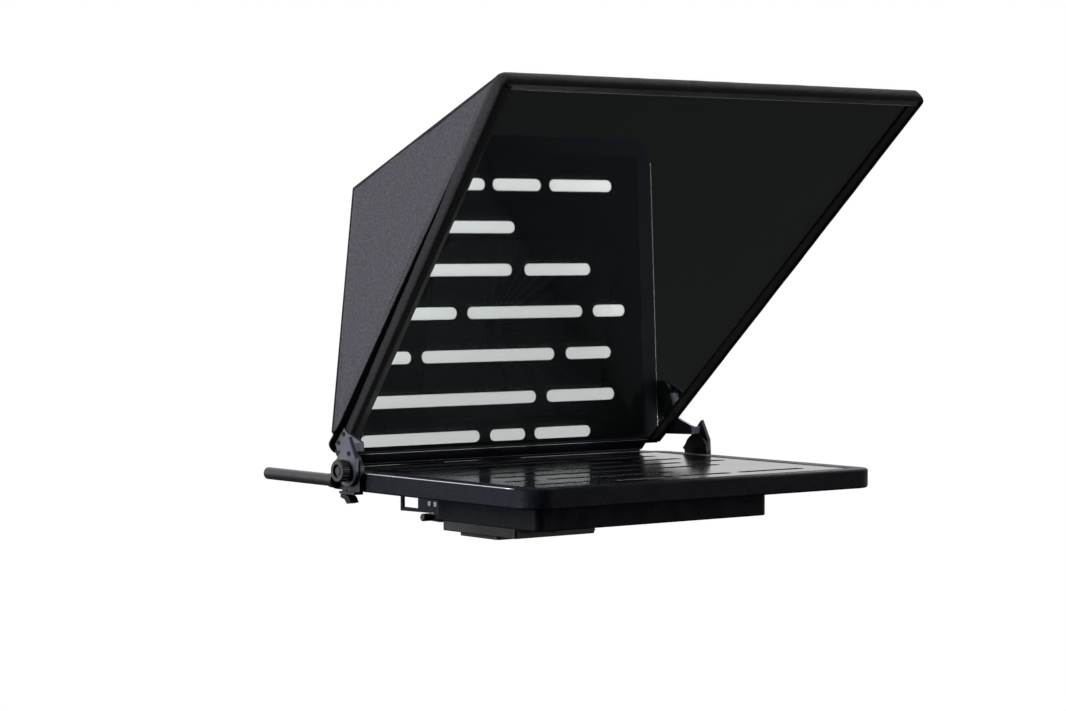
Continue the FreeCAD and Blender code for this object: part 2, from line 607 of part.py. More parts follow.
def make_tilt_arms():
    kite = [(-20.8, 79.6), (-49.5, 109.6), (-60.2, 90.0), (-60.9, 77.0), (-34.0, 72.0)]
    arm = side_plate(kite, -ARM_OUT, -ARM_IN)
    arm = arm.fuse(rod((-ARM_OUT, HINGE_Y, HINGE_Z), ALONG_X, HINGE_DISC_R, ARM_OUT - ARM_IN)).removeSplitter()
    arm = arm.makeChamfer(0.5, [e for e in arm.Edges if e.BoundBox.XMax < -ARM_OUT + 1e-4])
    ear = [(-50.0, 95.5), (-50.0, 104.0), slope_point(98.0, FRAME_FRONT_W), slope_point(98.0, FRAME_BACK_W),
           slope_point(76.0, FRAME_BACK_W), slope_point(74.0, FRAME_FRONT_W)]
    arm = arm.fuse(block(-ARM_IN, -EAR_OUT, -50, -41, 96, 103)).fuse(side_plate(ear, -EAR_OUT, -EAR_IN))
    spacer = block(-EAR_IN - 0.01, -180, 76.0, 98.0, FRAME_BACK_W, FRAME_FRONT_W)
    spacer = spacer.cut(trapezium(50.0, 150.0, 0, FRAME_BACK_W - 1, FRAME_FRONT_W + 1))
    arm = arm.fuse(in_mirror_frame(spacer))
    arm = arm.cut(rod((-ARM_OUT - 1, HINGE_Y, HINGE_Z), ALONG_X, HINGE_PIN_R + PIN_GAP, 6.0))
    save_pair("tilt_arm", arm.removeSplitter())


def make_tilt_arm_screws():
    screws = [cap_screw((-ARM_OUT, -50.0, 94.0), -ALONG_X, 2.3, 0.8)]
    for v in (81.0, 93.0):
        y, z = slope_point(v, -1.9)
        screws.append(cap_screw((-EAR_OUT, y, z), -ALONG_X, 2.2, 0.7))
    save("tilt_arm_screws", *(screws + [mirrored(s) for s in screws]))


def make_tilt_pivots():
    """A clamping knob on the left end of the hinge and a plain capped pin on the right."""
    start = (-ARM_OUT - 2.0, HINGE_Y, HINGE_Z)
    knob = fluted_knob(start, -ALONG_X, TILT_KNOB_R, TILT_KNOB_LENGTH - 2.0, 18, 7.5, 1.7)
    outer = -ARM_OUT - TILT_KNOB_LENGTH
    knob = knob.cut(rod((outer - 1, HINGE_Y, HINGE_Z), ALONG_X, 6.4, 4.0))
    knob = knob.fuse(rod((outer + 1.0, HINGE_Y, HINGE_Z), ALONG_X, 3.6, 3.0))
    pin = rod((-ARM_OUT - 3, HINGE_Y, HINGE_Z), ALONG_X, HINGE_PIN_R, 3 + ARM_OUT - BRACKET_IN + 0.4)
    save("tilt_knob", knob.fuse(pin).removeSplitter())
    cap = rod((-ARM_OUT - 2.8, HINGE_Y, HINGE_Z), ALONG_X, PIVOT_CAP_R, 2.5)
    cap = cap.makeChamfer(0.6, [e for e in cap.Edges if e.BoundBox.XMax < -ARM_OUT - 2.8 + 1e-4])
    pin = rod((-ARM_OUT - 1, HINGE_Y, HINGE_Z), ALONG_X, HINGE_PIN_R, 1 + ARM_OUT - BRACKET_IN + 0.4)
    save("tilt_pivot_pin", mirrored(cap.fuse(pin).removeSplitter()))


# ------------------------------------------------------------------ hood
def back_panel_y(z):
    """Y of the hood's back panel, which leans, at height z."""
    return HOOD_FOOT_Y + (HOOD_TOP_Y - HOOD_FOOT_Y) * (z - HOOD_FOOT_Z) / (HOOD_TOP_Z - HOOD_FOOT_Z)


def make_hood_sides():
    rim_y, rim_z = slope_point(FRAME_TOP_V - 4.5, HOOD_REAR_W)
    foot_y, foot_z = slope_point(HOOD_FOOT_V, HOOD_REAR_W)
    corners = [(-FRAME_TOP_HALF + 2.0, rim_y, rim_z), (-HOOD_BACK_HALF, HOOD_TOP_Y - 2.0, HOOD_TOP_Z - 2.5),
               (-HOOD_BACK_HALF, foot_y, foot_z)]
    save_pair("hood_side", prism(corners, (HOOD_THICK, 0, 0)))


def make_hood_top():
    rim_y, rim_z = slope_point(FRAME_TOP_V - 0.5, HOOD_REAR_W)
    corners = [(-FRAME_TOP_HALF + 1, rim_y, rim_z), (FRAME_TOP_HALF - 1, rim_y, rim_z),
               (HOOD_BACK_HALF, HOOD_TOP_Y, HOOD_TOP_Z), (-HOOD_BACK_HALF, HOOD_TOP_Y, HOOD_TOP_Z)]
    save("hood_top", prism(corners, (0, 0, -HOOD_THICK)))


def lens_outline(margin):
    """A bar with the lens opening's rounded outline, running through the back panel."""
    return block(-LENS_HALF_X - margin, LENS_HALF_X + margin, -60, 20,
                 LENS_LOW_Z - margin, LENS_HIGH_Z + margin)


def rounded_lens_bar(margin):
    bar = lens_outline(margin)
    along = [e for e in bar.Edges if e.BoundBox.XLength < 1e-6 and e.BoundBox.ZLength < 1e-6]
    return bar.makeFillet(LENS_CORNER_R + margin, along)


def back_slab(x_half, z0, z1, front, thick):
    """A slab parallel to the back panel; front is its distance behind the panel's face."""
    outline = [(back_panel_y(z0) + front, z0), (back_panel_y(z1) + front, z1),
               (back_panel_y(z1) + front + thick, z1), (back_panel_y(z0) + front + thick, z0)]
    return side_plate(outline, -x_half, x_half)


def make_hood_back():
    panel = back_slab(HOOD_BACK_HALF - 3.0, HOOD_BACK_LOW_Z, HOOD_TOP_Z - 2.4, -HOOD_THICK, HOOD_THICK)
    save("hood_back", panel.cut(rounded_lens_bar(0)).removeSplitter())


def make_lens_sleeve():
    """A soft funnel behind the lens opening, gathered by its drawstring into a neck."""
    y = back_panel_y(LENS_Z)
    wide = LENS_HIGH_Z - LENS_Z - 4.0
    cone = Part.makeCone(wide, SLEEVE_NECK_R, SLEEVE_LENGTH, Vec(0, y + 4, LENS_Z), ALONG_Y)
    hollow = Part.makeCone(wide - 2.5, SLEEVE_NECK_R - 2.0, SLEEVE_LENGTH, Vec(0, y + 4, LENS_Z), ALONG_Y)
    neck = pipe((0, y + 4 + SLEEVE_LENGTH, LENS_Z), ALONG_Y, SLEEVE_NECK_R, SLEEVE_NECK_R - 2.0, SLEEVE_NECK)
    flange = back_slab(LENS_HALF_X + 8, LENS_LOW_Z - 8, LENS_HIGH_Z + 8, 0.3, 2.0)
    flange = flange.common(rounded_lens_bar(8))
    flange = flange.cut(rod((0, y - 30, LENS_Z), ALONG_Y, wide - 1.0, 60.0))
    save("lens_sleeve", flange, cone.cut(hollow).fuse(neck).removeSplitter())


# ------------------------------------------------------------------ camera riser
def make_riser_cheeks():
    outline = [(CHEEK_FRONT, RAIL_TOP), (CHEEK_REAR, 20.6), (CHEEK_REAR, 58.0),
               (CHEEK_REAR - 12, CHEEK_TOP), (CHEEK_FRONT + 10, CHEEK_TOP), (CHEEK_FRONT, 120.0)]
    cheek = side_plate(outline, -CHEEK_OUT, -CHEEK_OUT + CHEEK_THICK)
    cheek = cheek.cut(block(-CHEEK_OUT - 1, -CHEEK_OUT + CHEEK_THICK + 1, 76, 102.4, 24.6, 48))
    slot_low = RISER_BOLT_Z - RISER_TRAVEL - 0.5
    slot_high = RISER_BOLT_Z + RISER_TRAVEL + 0.5
    width = RISER_BOLT_R + 0.15
    slot = block(-CHEEK_OUT - 1, -CHEEK_OUT + CHEEK_THICK + 1,
                 RISER_BOLT_Y - width, RISER_BOLT_Y + width, slot_low, slot_high)
    for z in (slot_low, slot_high):
        slot = slot.fuse(rod((-CHEEK_OUT - 1, RISER_BOLT_Y, z), ALONG_X, width, CHEEK_THICK + 2))
    save_pair("riser_cheek", cheek.cut(slot).removeSplitter())


def make_riser_base_block():
    inner = CHEEK_OUT - CHEEK_THICK
    body = block(-inner, inner, 37.0, 60.0, RAIL_TOP, 34.0)
    body = body.fuse(block(-CHEEK_OUT, CHEEK_OUT, 37.0, 49.0, 13.6, RAIL_TOP - 0.2))
    body = body.fuse(block(-inner, inner, 37.0, 49.0, RAIL_TOP - 0.3, RAIL_TOP + 1))
    body = body.cut(rail_section(rail_outline(), 30, 70))
    body = body.cut(rod((-CHEEK_OUT - 1, CLAMP_Y, CLAMP_Z), ALONG_X, 2.05, 29.0))
    save("riser_base_block", body.removeSplitter())


def make_riser_clamp_knob():
    knob = fluted_knob((-CHEEK_OUT - 6.5, CLAMP_Y, CLAMP_Z), -ALONG_X, 3.8, 12.5, 10)
    stud = rod((-CHEEK_OUT - 7.0, CLAMP_Y, CLAMP_Z), ALONG_X, 2.0, 31.0)
    save("riser_clamp_knob", knob.fuse(stud).removeSplitter())
    save("riser_clamp_collar", pipe((-CHEEK_OUT - 6.4, CLAMP_Y, CLAMP_Z), ALONG_X, 4.4, 2.02, 6.0))


def make_riser_platform():
    half = CHEEK_OUT - CHEEK_THICK - SLIDE_GAP
    front = CHEEK_FRONT + 8.0
    top = block(-half, half, front, PLATFORM_REAR, PLATFORM_FLOOR, PLATFORM_TOP)
    for side in (-1, 1):
        x0, x1 = sorted((side * (half - 3.0), side * half))
        top = top.fuse(block(x0, x1, front + 4, CHEEK_REAR - 16, RISER_BOLT_Z - 12, PLATFORM_TOP))
        gib = [(side * half, PLATFORM_TOP), (side * 24.4, PLATFORM_TOP),
               (side * 21.4, CAMERA_PLATE_TOP - 2.8), (side * half, CAMERA_PLATE_TOP - 2.8)]
        top = top.fuse(rail_section(gib, front, PLATFORM_REAR))
    top = top.cut(rod((-half - 1, RISER_BOLT_Y, RISER_BOLT_Z), ALONG_X, RISER_BOLT_R + PIN_GAP, 2 * half + 2))
    top = top.cut(rod((20, 112.0, 164.0), ALONG_X, 2.05, 40.0))
    save("riser_platform", top.removeSplitter())


def make_riser_knob():
    knob = fluted_knob((CHEEK_OUT + 3.3, RISER_BOLT_Y, RISER_BOLT_Z), ALONG_X, 13.0, 16.0, 16, 8.0, 3.0)
    bolt = rod((-CHEEK_OUT - 3.0, RISER_BOLT_Y, RISER_BOLT_Z), ALONG_X, RISER_BOLT_R, 2 * CHEEK_OUT + 8.0)
    head = rod((-CHEEK_OUT - 4.3, RISER_BOLT_Y, RISER_BOLT_Z), ALONG_X, 6.0, 4.0)
    save("riser_knob", knob.fuse(bolt).fuse(head).removeSplitter())


def make_camera_plate():
    outline = [(-24, PLATFORM_TOP + SLIDE_GAP), (24, PLATFORM_TOP + SLIDE_GAP),
               (21, CAMERA_PLATE_TOP - 2.8), (21, CAMERA_PLATE_TOP - 2.5), (35, CAMERA_PLATE_TOP - 2.5),
               (35, CAMERA_PLATE_TOP), (-35, CAMERA_PLATE_TOP), (-35, CAMERA_PLATE_TOP - 2.5),
               (-21, CAMERA_PLATE_TOP - 2.5), (-21, CAMERA_PLATE_TOP - 2.8)]
    plate = rail_section(outline, CAMERA_PLATE_FRONT, CAMERA_PLATE_REAR)
    plate = plate.cut(rounded_block(-3.4, 3.4, 100, 180, 150, 200, 3.3))
    plate = plate.cut(rounded_block(-8.2, 8.2, 95, 185, 150, 164.6, 8.0))
    save("camera_plate", plate)
    screw = rod((0, CAMERA_SCREW_Y, 162.0), ALONG_Z, 7.6, 2.4)
    screw = screw.fuse(rod((0, CAMERA_SCREW_Y, 163.0), ALONG_Z, CAMERA_SHANK_R, 10.0))
    screw = screw.fuse(rod((0, CAMERA_SCREW_Y, CAMERA_PLATE_TOP), ALONG_Z, CAMERA_SCREW_R,
                           CAMERA_SCREW_TOP - CAMERA_PLATE_TOP))
    slit = block(-6, 6, CAMERA_SCREW_Y - 0.7, CAMERA_SCREW_Y + 0.7, 161.0, 163.0)
    save("camera_screw", screw.cut(slit).removeSplitter())


def make_camera_plate_lock():
    half = CHEEK_OUT - CHEEK_THICK - SLIDE_GAP
    knob = fluted_knob((half + 2.3, 112.0, 164.0), ALONG_X, 7.0, 11.0, 12, 4.5, 2.0)
    stud = rod((half - 22.0, 112.0, 164.0), ALONG_X, 2.0, 25.0)
    save("camera_plate_lock", knob.fuse(stud).removeSplitter())


make_tripod_plate()
make_base_carriage()
make_carriage_screws()
make_rail_lock_knob()
make_base_rail()
make_monitor_support_plate()
make_monitor_bracket()
make_rim()
make_screen_and_backlight()
make_back_cover()
make_chassis_screws()
make_electronics_housing()
make_boards()
make_sockets()
make_keys()
make_side_brackets()
make_rods()
make_rod_clamp_levers()
make_frame_bars()
make_corner_keys()
make_glass()
make_tilt_arms()
make_tilt_arm_screws()
make_tilt_pivots()
make_hood_sides()
make_hood_top()
make_hood_back()
make_lens_sleeve()
make_riser_cheeks()
make_riser_base_block()
make_riser_clamp_knob()
make_riser_platform()
make_riser_knob()
make_camera_plate()
make_camera_plate_lock()
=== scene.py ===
import bmesh
import bpy
import json
import math
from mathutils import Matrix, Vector, noise


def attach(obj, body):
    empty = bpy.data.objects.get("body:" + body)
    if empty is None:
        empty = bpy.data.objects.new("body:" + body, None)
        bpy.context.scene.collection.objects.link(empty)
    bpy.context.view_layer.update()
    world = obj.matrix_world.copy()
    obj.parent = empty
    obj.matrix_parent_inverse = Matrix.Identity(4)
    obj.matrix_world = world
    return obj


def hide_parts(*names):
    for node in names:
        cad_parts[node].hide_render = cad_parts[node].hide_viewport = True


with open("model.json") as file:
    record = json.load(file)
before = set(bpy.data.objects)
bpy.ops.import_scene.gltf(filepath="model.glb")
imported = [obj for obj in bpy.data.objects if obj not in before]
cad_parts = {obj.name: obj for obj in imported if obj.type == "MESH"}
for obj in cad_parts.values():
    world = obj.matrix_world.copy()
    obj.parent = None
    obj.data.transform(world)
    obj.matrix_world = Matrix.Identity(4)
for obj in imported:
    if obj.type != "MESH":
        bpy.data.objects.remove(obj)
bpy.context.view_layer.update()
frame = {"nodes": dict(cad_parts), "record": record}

# ------------------------------------------------------------------ dimensions
MM = 0.001

# mirror frame, as in the CAD model: x, v up the slope, w towards the talent (millimetres)
FRAME_TILT = math.radians(46.3)
FRAME_ORIGIN_Y = 41.7
FRAME_ORIGIN_Z = 41.8
FRAME_TOP_V = 534.1
FRAME_TOP_HALF = 252.8
FRAME_SIDE_SLOPE = 0.1144
SIDE_BAR_WIDTH = 13.0
TOP_BAR_WIDTH = 8.5
BOTTOM_BAR_V = 52.0
GLASS_FOOT_V = 67.0
FRAME_FRONT_W = 1.6
GLASS_THICK = 3.0
GLASS_BITE = 4.0
SEAL_HALF = 182.0               # felt strip under the frame's foot
SEAL_HIGH_V = 51.9
SEAL_LOW_V = 48.6
SEAL_FRONT_W = 1.0
SEAL_REAR_W = -4.5

# hood (millimetres)
HOOD_FRONT_W = -8.2             # the cloth is fixed along this line behind the frame
HOOD_RIM_V = 531.5
HOOD_RIM_HALF = 251.0
HOOD_FOOT_V = 92.0
HOOD_BACK_HALF = 211.5
HOOD_TOP_Y = -47.5
HOOD_TOP_Z = 341.0
HOOD_FOOT_Z = 111.5
HOOD_THICK = 1.6
LENS_Z = 208.0
LENS_HALF_X = 111.0
LENS_LOW_Z = 118.0
LENS_HIGH_Z = 294.0
LENS_CORNER_R = 30.0
HOOD_TUCK = 31.0                # how far the cloth runs down behind the frame below the back panel
HOOD_MIDDLE = (0.0, -0.16, 0.27)  # metres; the panels ripple towards and away from this point
PIPING_R = 1.5

# hem and stitches (millimetres)
HEM_FOOT_V = 64.0
HEM_CORNER_R = 5.0
HEM_PROUD = 1.7                 # how far the hem stands off the frame's edge
HEM_TOP_EXTRA = 1.4
HEM_LAP_LEFT = 5.0              # how far it laps over the frame's front, at the foot
HEM_LAP_LEFT_GAIN = 6.0         # and how much more at the top
HEM_LAP_RIGHT = 2.4
HEM_LAP_TOP = 1.2
STITCH_PITCH = 4.2
STITCH_LENGTH = 2.6
STITCH_R = 0.28
STITCH_INSET = 6.0
STITCH_LIFT = 1.2

# lens sleeve (millimetres)
SLEEVE_LENGTH = 45.0
SLEEVE_NECK = 20.0
SLEEVE_NECK_R = 9.6
SLEEVE_PLEATS = 26
SLEEVE_THICK = 0.9
DRAW_SHARE = 0.42               # where the drawstring sits along the neck
DRAW_R = 4.992
CORD_R = 1.1
LOCK_DROP = 3.4                 # from the cord down to the middle of its lock

# monitor rim and screen
RIM_HALF = 210.0
RIM_FRONT = -314.0
RIM_REAR = 11.0
RIM_TOP = 76.0
RIM_CORNER_R = 26.0
HIGHLIGHT_INSET = 0.58               # where the painted highlight line sits on the rim's rounded edge
HIGHLIGHT_RADIUS = 0.45
SCREEN_Z = 74.4
SCREEN_HALF = 190.4
SCREEN_FRONT = -294.4
SCREEN_REAR = -8.6
SCREEN_LAYER = 1.25             # thickness of the clear front over the lit words
WORD_HEIGHT = 12.0
WORD_LIFT = 0.05
# each row of the greeked script: its Y, then the X ends of its words
SCRIPT_ROWS = [
    (-264.0, [(-165, -95), (-82, -6), (3, 65), (75, 157)]),
    (-221.5, [(-168, -132), (-120, 30)]),
    (-179.0, [(-150, 25), (40, 126)]),
    (-136.5, [(-160, -45), (-33, 114), (127, 170)]),
    (-94.0, [(-165, -102), (-90, 76), (90, 150)]),
    (-51.5, [(-165, 51), (64, 153)]),
    (-14.6, [(-165, -21), (-9, 36), (47, 120)]),
]

# camera and room
CAMERA_PLACE = (-1.80417, -2.35061, 0.28934)
CAMERA_AZIMUTH = math.radians(38.07)
CAMERA_PITCH = math.radians(2.13)
CAMERA_LENS = 101.1
LIGHT_TARGET = (0.0, -0.1, 0.2)
FILL_TARGET = (0.0, -0.1, 0.1)
FLOOR_Z = -1.3
FLOOR_RADIUS = 6.0


# ------------------------------------------------------------------ places
def on_frame(x, v, w):
    """A point given in the mirror frame's own coordinates, in millimetres."""
    return Vector((x,
                   FRAME_ORIGIN_Y - v * math.cos(FRAME_TILT) - w * math.sin(FRAME_TILT),
                   FRAME_ORIGIN_Z + v * math.sin(FRAME_TILT) - w * math.cos(FRAME_TILT))) * MM


def frame_half(v):
    """Half width of the mirror frame at height v up its slope."""
    return FRAME_TOP_HALF - (FRAME_TOP_V - v) * FRAME_SIDE_SLOPE


def back_y(z):
    """Y of the hood's leaning back panel at height z, in millimetres."""
    return -9.0 - 38.0 * (z - 101.0) / 241.0


def on_back(x, z, behind=0.0):
    """A point of the hood's back panel, in metres."""
    return Vector((x, back_y(z) + behind, z)) * MM


def flipped(point):
    return Vector((-point.x, point.y, point.z))


# ------------------------------------------------------------------ materials
def new_material(name, colour, roughness, metallic=0.0, specular=0.5):
    material = bpy.data.materials.new(name)
    material.use_nodes = True
    shader = material.node_tree.nodes["Principled BSDF"]
    shader.inputs["Base Color"].default_value = (*colour, 1.0)
    shader.inputs["Roughness"].default_value = roughness
    shader.inputs["Metallic"].default_value = metallic
    shader.inputs["Specular IOR Level"].default_value = specular
    return material


def shader_of(material):
    return material.node_tree.nodes["Principled BSDF"]


def coordinates(material, stretch=(1.0, 1.0, 1.0)):
    """Object coordinates, scaled differently along each axis for brushed finishes."""
    tree = material.node_tree
    place = tree.nodes.new("ShaderNodeTexCoord")
    mapping = tree.nodes.new("ShaderNodeMapping")
    mapping.inputs["Scale"].default_value = stretch
    tree.links.new(place.outputs["Object"], mapping.inputs["Vector"])
    return mapping.outputs["Vector"]


def noise_texture(material, scale, detail=3.0, stretch=(1.0, 1.0, 1.0)):
    tree = material.node_tree
    node = tree.nodes.new("ShaderNodeTexNoise")
    node.inputs["Scale"].default_value = scale
    node.inputs["Detail"].default_value = detail
    tree.links.new(coordinates(material, stretch), node.inputs["Vector"])
    return node.outputs["Fac"]


def threads(material, direction, pitch):
    """Fine ribs at a pitch along one direction, the threads of a cloth."""
    tree = material.node_tree
    place = tree.nodes.new("ShaderNodeTexCoord")
    dot = tree.nodes.new("ShaderNodeVectorMath")
    dot.operation = "DOT_PRODUCT"
    dot.inputs[1].default_value = Vector(direction) * (2 * math.pi / (pitch * MM))
    tree.links.new(place.outputs["Object"], dot.inputs[0])
    sine = tree.nodes.new("ShaderNodeMath")
    sine.operation = "SINE"
    tree.links.new(dot.outputs["Value"], sine.inputs[0])
    return sine.outputs["Value"]


def combine(material, operation, first, second):
    tree = material.node_tree
    node = tree.nodes.new("ShaderNodeMath")
    node.operation = operation
    tree.links.new(first, node.inputs[0])
    tree.links.new(second, node.inputs[1])
    return node.outputs[0]


def vary_colour(material, factor, dark, light, low=0.3, high=0.7):
    tree = material.node_tree
    ramp = tree.nodes.new("ShaderNodeValToRGB")
    ramp.color_ramp.elements[0].position = low
    ramp.color_ramp.elements[1].position = high
    ramp.color_ramp.elements[0].color = (*dark, 1.0)
    ramp.color_ramp.elements[1].color = (*light, 1.0)
    tree.links.new(factor, ramp.inputs["Fac"])
    tree.links.new(ramp.outputs["Color"], shader_of(material).inputs["Base Color"])


def vary_roughness(material, factor, low, high):
    tree = material.node_tree
    node = tree.nodes.new("ShaderNodeMapRange")
    node.inputs["From Min"].default_value = 0.25
    node.inputs["From Max"].default_value = 0.75
    node.inputs["To Min"].default_value = low
    node.inputs["To Max"].default_value = high
    tree.links.new(factor, node.inputs["Value"])
    tree.links.new(node.outputs["Result"], shader_of(material).inputs["Roughness"])


def relief(material, height, strength, distance):
    tree = material.node_tree
    node = tree.nodes.new("ShaderNodeBump")
    node.inputs["Strength"].default_value = strength
    node.inputs["Distance"].default_value = distance
    tree.links.new(height, node.inputs["Height"])
    tree.links.new(node.outputs["Normal"], shader_of(material).inputs["Normal"])


def coated(name, dark, light, rough, grain, bump, metallic=0.0, specular=0.5, mottle=22.0):
    """A coated or moulded surface: fine grain, faint mottling, uneven gloss."""
    material = new_material(name, light, sum(rough) / 2, metallic, specular)
    vary_colour(material, noise_texture(material, mottle), dark, light)
    vary_roughness(material, noise_texture(material, 60.0, 4.0), *rough)
    relief(material, noise_texture(material, grain, 2.0), bump, 0.0002)
    return material


def brushed(name, dark, light, rough, stretch):
    """A turned or drawn metal with fine lines along one axis."""
    material = new_material(name, light, sum(rough) / 2, 1.0)
    lines = noise_texture(material, 300.0, 4.0, stretch)
    vary_colour(material, lines, dark, light)
    vary_roughness(material, lines, *rough)
    relief(material, lines, 0.15, 0.0001)
    return material


def cloth(name, dark, light, pitch, bump, sheen):
    """Woven or knitted cloth: crossing threads, mottled yarn and a soft sheen."""
    material = new_material(name, light, 0.9, specular=0.2)
    shader = shader_of(material)
    shader.inputs["Sheen Weight"].default_value = sheen
    shader.inputs["Sheen Roughness"].default_value = 0.6
    warp = threads(material, (1.0, 1.0, 0.0), pitch)
    weft = threads(material, (0.5, -0.5, 1.0), pitch)
    weave = combine(material, "ADD", warp, weft)
    yarn = noise_texture(material, 420.0, 3.0)
    vary_colour(material, yarn, dark, light, 0.35, 0.65)
    relief(material, combine(material, "MULTIPLY", weave, yarn), bump, 0.0005)
    return material


def glossy_screen():
    material = new_material("screen_gloss", (0.006, 0.006, 0.008), 0.12, specular=0.06)
    vary_roughness(material, noise_texture(material, 14.0), 0.10, 0.14)
    patches = noise_texture(material, 9.0)
    vary_colour(material, patches, (0.005, 0.005, 0.007), (0.008, 0.008, 0.010))
    return material


def glowing_words():
    material = new_material("script_glow", (0.75, 0.76, 0.74), 0.4)
    shader = shader_of(material)
    shader.inputs["Emission Color"].default_value = (0.93, 0.96, 0.93, 1.0)
    shader.inputs["Emission Strength"].default_value = 1.3
    vary_colour(material, noise_texture(material, 500.0), (0.68, 0.69, 0.67), (0.78, 0.79, 0.77))
    return material


def half_mirror():
    """The coated face: it reflects under half of the light and lets the rest through."""
    material = new_material("glass_coating", (0.90, 0.92, 0.93), 0.012, 1.0)
    shader_of(material).inputs["Alpha"].default_value = 0.42
    vary_roughness(material, noise_texture(material, 5.0), 0.008, 0.02)
    return material


def clear_glass():
    material = new_material("glass_clear", (0.10, 0.15, 0.14), 0.03)
    shader_of(material).inputs["Alpha"].default_value = 0.12
    vary_colour(material, noise_texture(material, 12.0), (0.07, 0.11, 0.10), (0.11, 0.16, 0.15))
    return material


MATERIALS = {
    "black_powder": coated("powder_coat", (0.0018, 0.0021, 0.0040), (0.0072, 0.0082, 0.0135),
                           (0.42, 0.62), 650, 1.0, specular=0.08, mottle=420.0),
    "black_anodised": coated("anodised", (0.014, 0.014, 0.016), (0.022, 0.022, 0.025),
                             (0.30, 0.42), 1600, 0.12, 0.35),
    # lighter copies of the frame's metal for its right side bar and its top bar: painted light where
    # light falls on those bars
    "lit_side_bar_metal": coated("frame_bar", (0.040, 0.040, 0.042), (0.060, 0.060, 0.062),
                          (0.28, 0.40), 1600, 0.12, 0.5),
    # painted highlight: a light finish for the lines laid along edges where they catch the light
    "highlight_paint": coated("highlight_paint", (0.60, 0.61, 0.64), (0.75, 0.76, 0.80),
                        (0.20, 0.30), 1600, 0.12, 0.6),
    "lit_top_bar_metal": coated("top_bar_painted_light", (0.42, 0.42, 0.43), (0.55, 0.55, 0.56),
                         (0.30, 0.42), 1600, 0.12, 1.0),
    "grey_arm": coated("grey_paint", (0.055, 0.060, 0.078), (0.075, 0.080, 0.100),
                       (0.30, 0.42), 1100, 0.18, 0.3),
    "steel": brushed("bright_steel", (0.42, 0.42, 0.43), (0.60, 0.60, 0.62),
                     (0.24, 0.38), (1.0, 1.0, 0.05)),
    "black_steel": brushed("blackened_steel", (0.020, 0.020, 0.022), (0.045, 0.045, 0.048),
                           (0.30, 0.45), (1.0, 0.05, 1.0)),
    "knob_plastic": coated("moulded_plastic", (0.006, 0.006, 0.007), (0.011, 0.011, 0.013),
                           (0.40, 0.55), 1300, 0.3),
    "screen": glossy_screen(),
    "backlight": coated("white_moulding", (0.62, 0.62, 0.60), (0.72, 0.72, 0.70),
                        (0.45, 0.60), 700, 0.15),
    "circuit_board": coated("solder_mask", (0.010, 0.075, 0.030), (0.018, 0.115, 0.050),
                            (0.25, 0.40), 420, 0.4),
    "gasket": coated("matt_rubber", (0.006, 0.006, 0.006), (0.010, 0.010, 0.010),
                     (0.70, 0.85), 1200, 0.3),
    "hood_cloth": cloth("hood_weave", (0.026, 0.0247, 0.0310), (0.054, 0.0512, 0.0615), 1.1, 0.5, 0.06),
    "hem_cloth": cloth("hem_weave", (0.006, 0.0057, 0.0068), (0.018, 0.0172, 0.021), 1.3, 0.7, 0.04),
    "hood_lining": cloth("lining_weave", (0.002, 0.002, 0.002), (0.004, 0.004, 0.0045), 0.9, 0.3, 0.0),
    "sleeve_cloth": cloth("sleeve_knit", (0.006, 0.006, 0.007), (0.014, 0.013, 0.016), 0.8, 0.5, 0.06),
    "felt": coated("black_felt", (0.006, 0.006, 0.007), (0.013, 0.013, 0.015),
                   (0.85, 0.95), 900, 0.6, specular=0.15),
    "thread": coated("sewing_thread", (0.012, 0.012, 0.014), (0.030, 0.029, 0.034),
                     (0.5, 0.7), 2500, 0.5),
    "words": glowing_words(),
    "glass_coating": half_mirror(),
    "glass_clear": clear_glass(),
}


# ------------------------------------------------------------------ mesh helpers
def new_piece(name, points, faces, material, body, smooth=True):
    mesh = bpy.data.meshes.new(name)
    mesh.from_pydata([tuple(p) for p in points], [], faces)
    mesh.validate()
    work = bmesh.new()
    work.from_mesh(mesh)
    bmesh.ops.recalc_face_normals(work, faces=work.faces)
    work.to_mesh(mesh)
    work.free()
    piece = bpy.data.objects.new(name, mesh)
    bpy.context.scene.collection.objects.link(piece)
    mesh.materials.append(MATERIALS[material])
    if smooth:
        mesh.shade_smooth()
    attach(piece, body)
    return piece


class Sheet:
    """Points and quads gathered patch by patch; points that meet are made one."""

    def __init__(self):
        self.points = []
        self.faces = []
        self.index = {}

    def point(self, place):
        key = tuple(round(c * 1e5) for c in place)
        if key not in self.index:
            self.index[key] = len(self.points)
            self.points.append(place.copy())
        return self.index[key]

    def add_grid(self, rows, closed=False):
        """Rows of points become quads; closed joins the last column to the first."""
        numbers = [[self.point(p) for p in row] for row in rows]
        for low, high in zip(numbers, numbers[1:]):
            count = len(low)
            for i in range(count if closed else count - 1):
                j = (i + 1) % count
                corners = []
                for n in (low[i], low[j], high[j], high[i]):
                    if n not in corners:
                        corners.append(n)
                if len(corners) > 2:
                    self.faces.append(corners)


def add_solidify(piece, thickness, offset):
    modifier = piece.modifiers.new("thickness", "SOLIDIFY")
    modifier.thickness = thickness * MM
    modifier.offset = offset
    return modifier


def add_subdivision(piece):
    modifier = piece.modifiers.new("smooth", "SUBSURF")
    modifier.subdivision_type = "SIMPLE"
    modifier.levels = 1
    modifier.render_levels = 1


def sweep(path, outwards, sections):
    """A closed skin along a path. Each section is a ring of (out, along_axis) offsets."""
    rings = []
    for place, (out, axis), ring in zip(path, outwards, sections):
        rings.append([place + out * (a * MM) + axis * (b * MM) for a, b in ring])
    sheet = Sheet()
    sheet.add_grid(rings, closed=True)
    for ring, order in ((rings[0], -1), (rings[-1], 1)):
        sheet.faces.append([sheet.point(p) for p in ring][::order])
    return sheet


def circle(radius, count=10):
    ring = []
    for i in range(count):
        angle = 2 * math.pi * i / count
        ring.append((radius * math.cos(angle), radius * math.sin(angle)))
    return ring


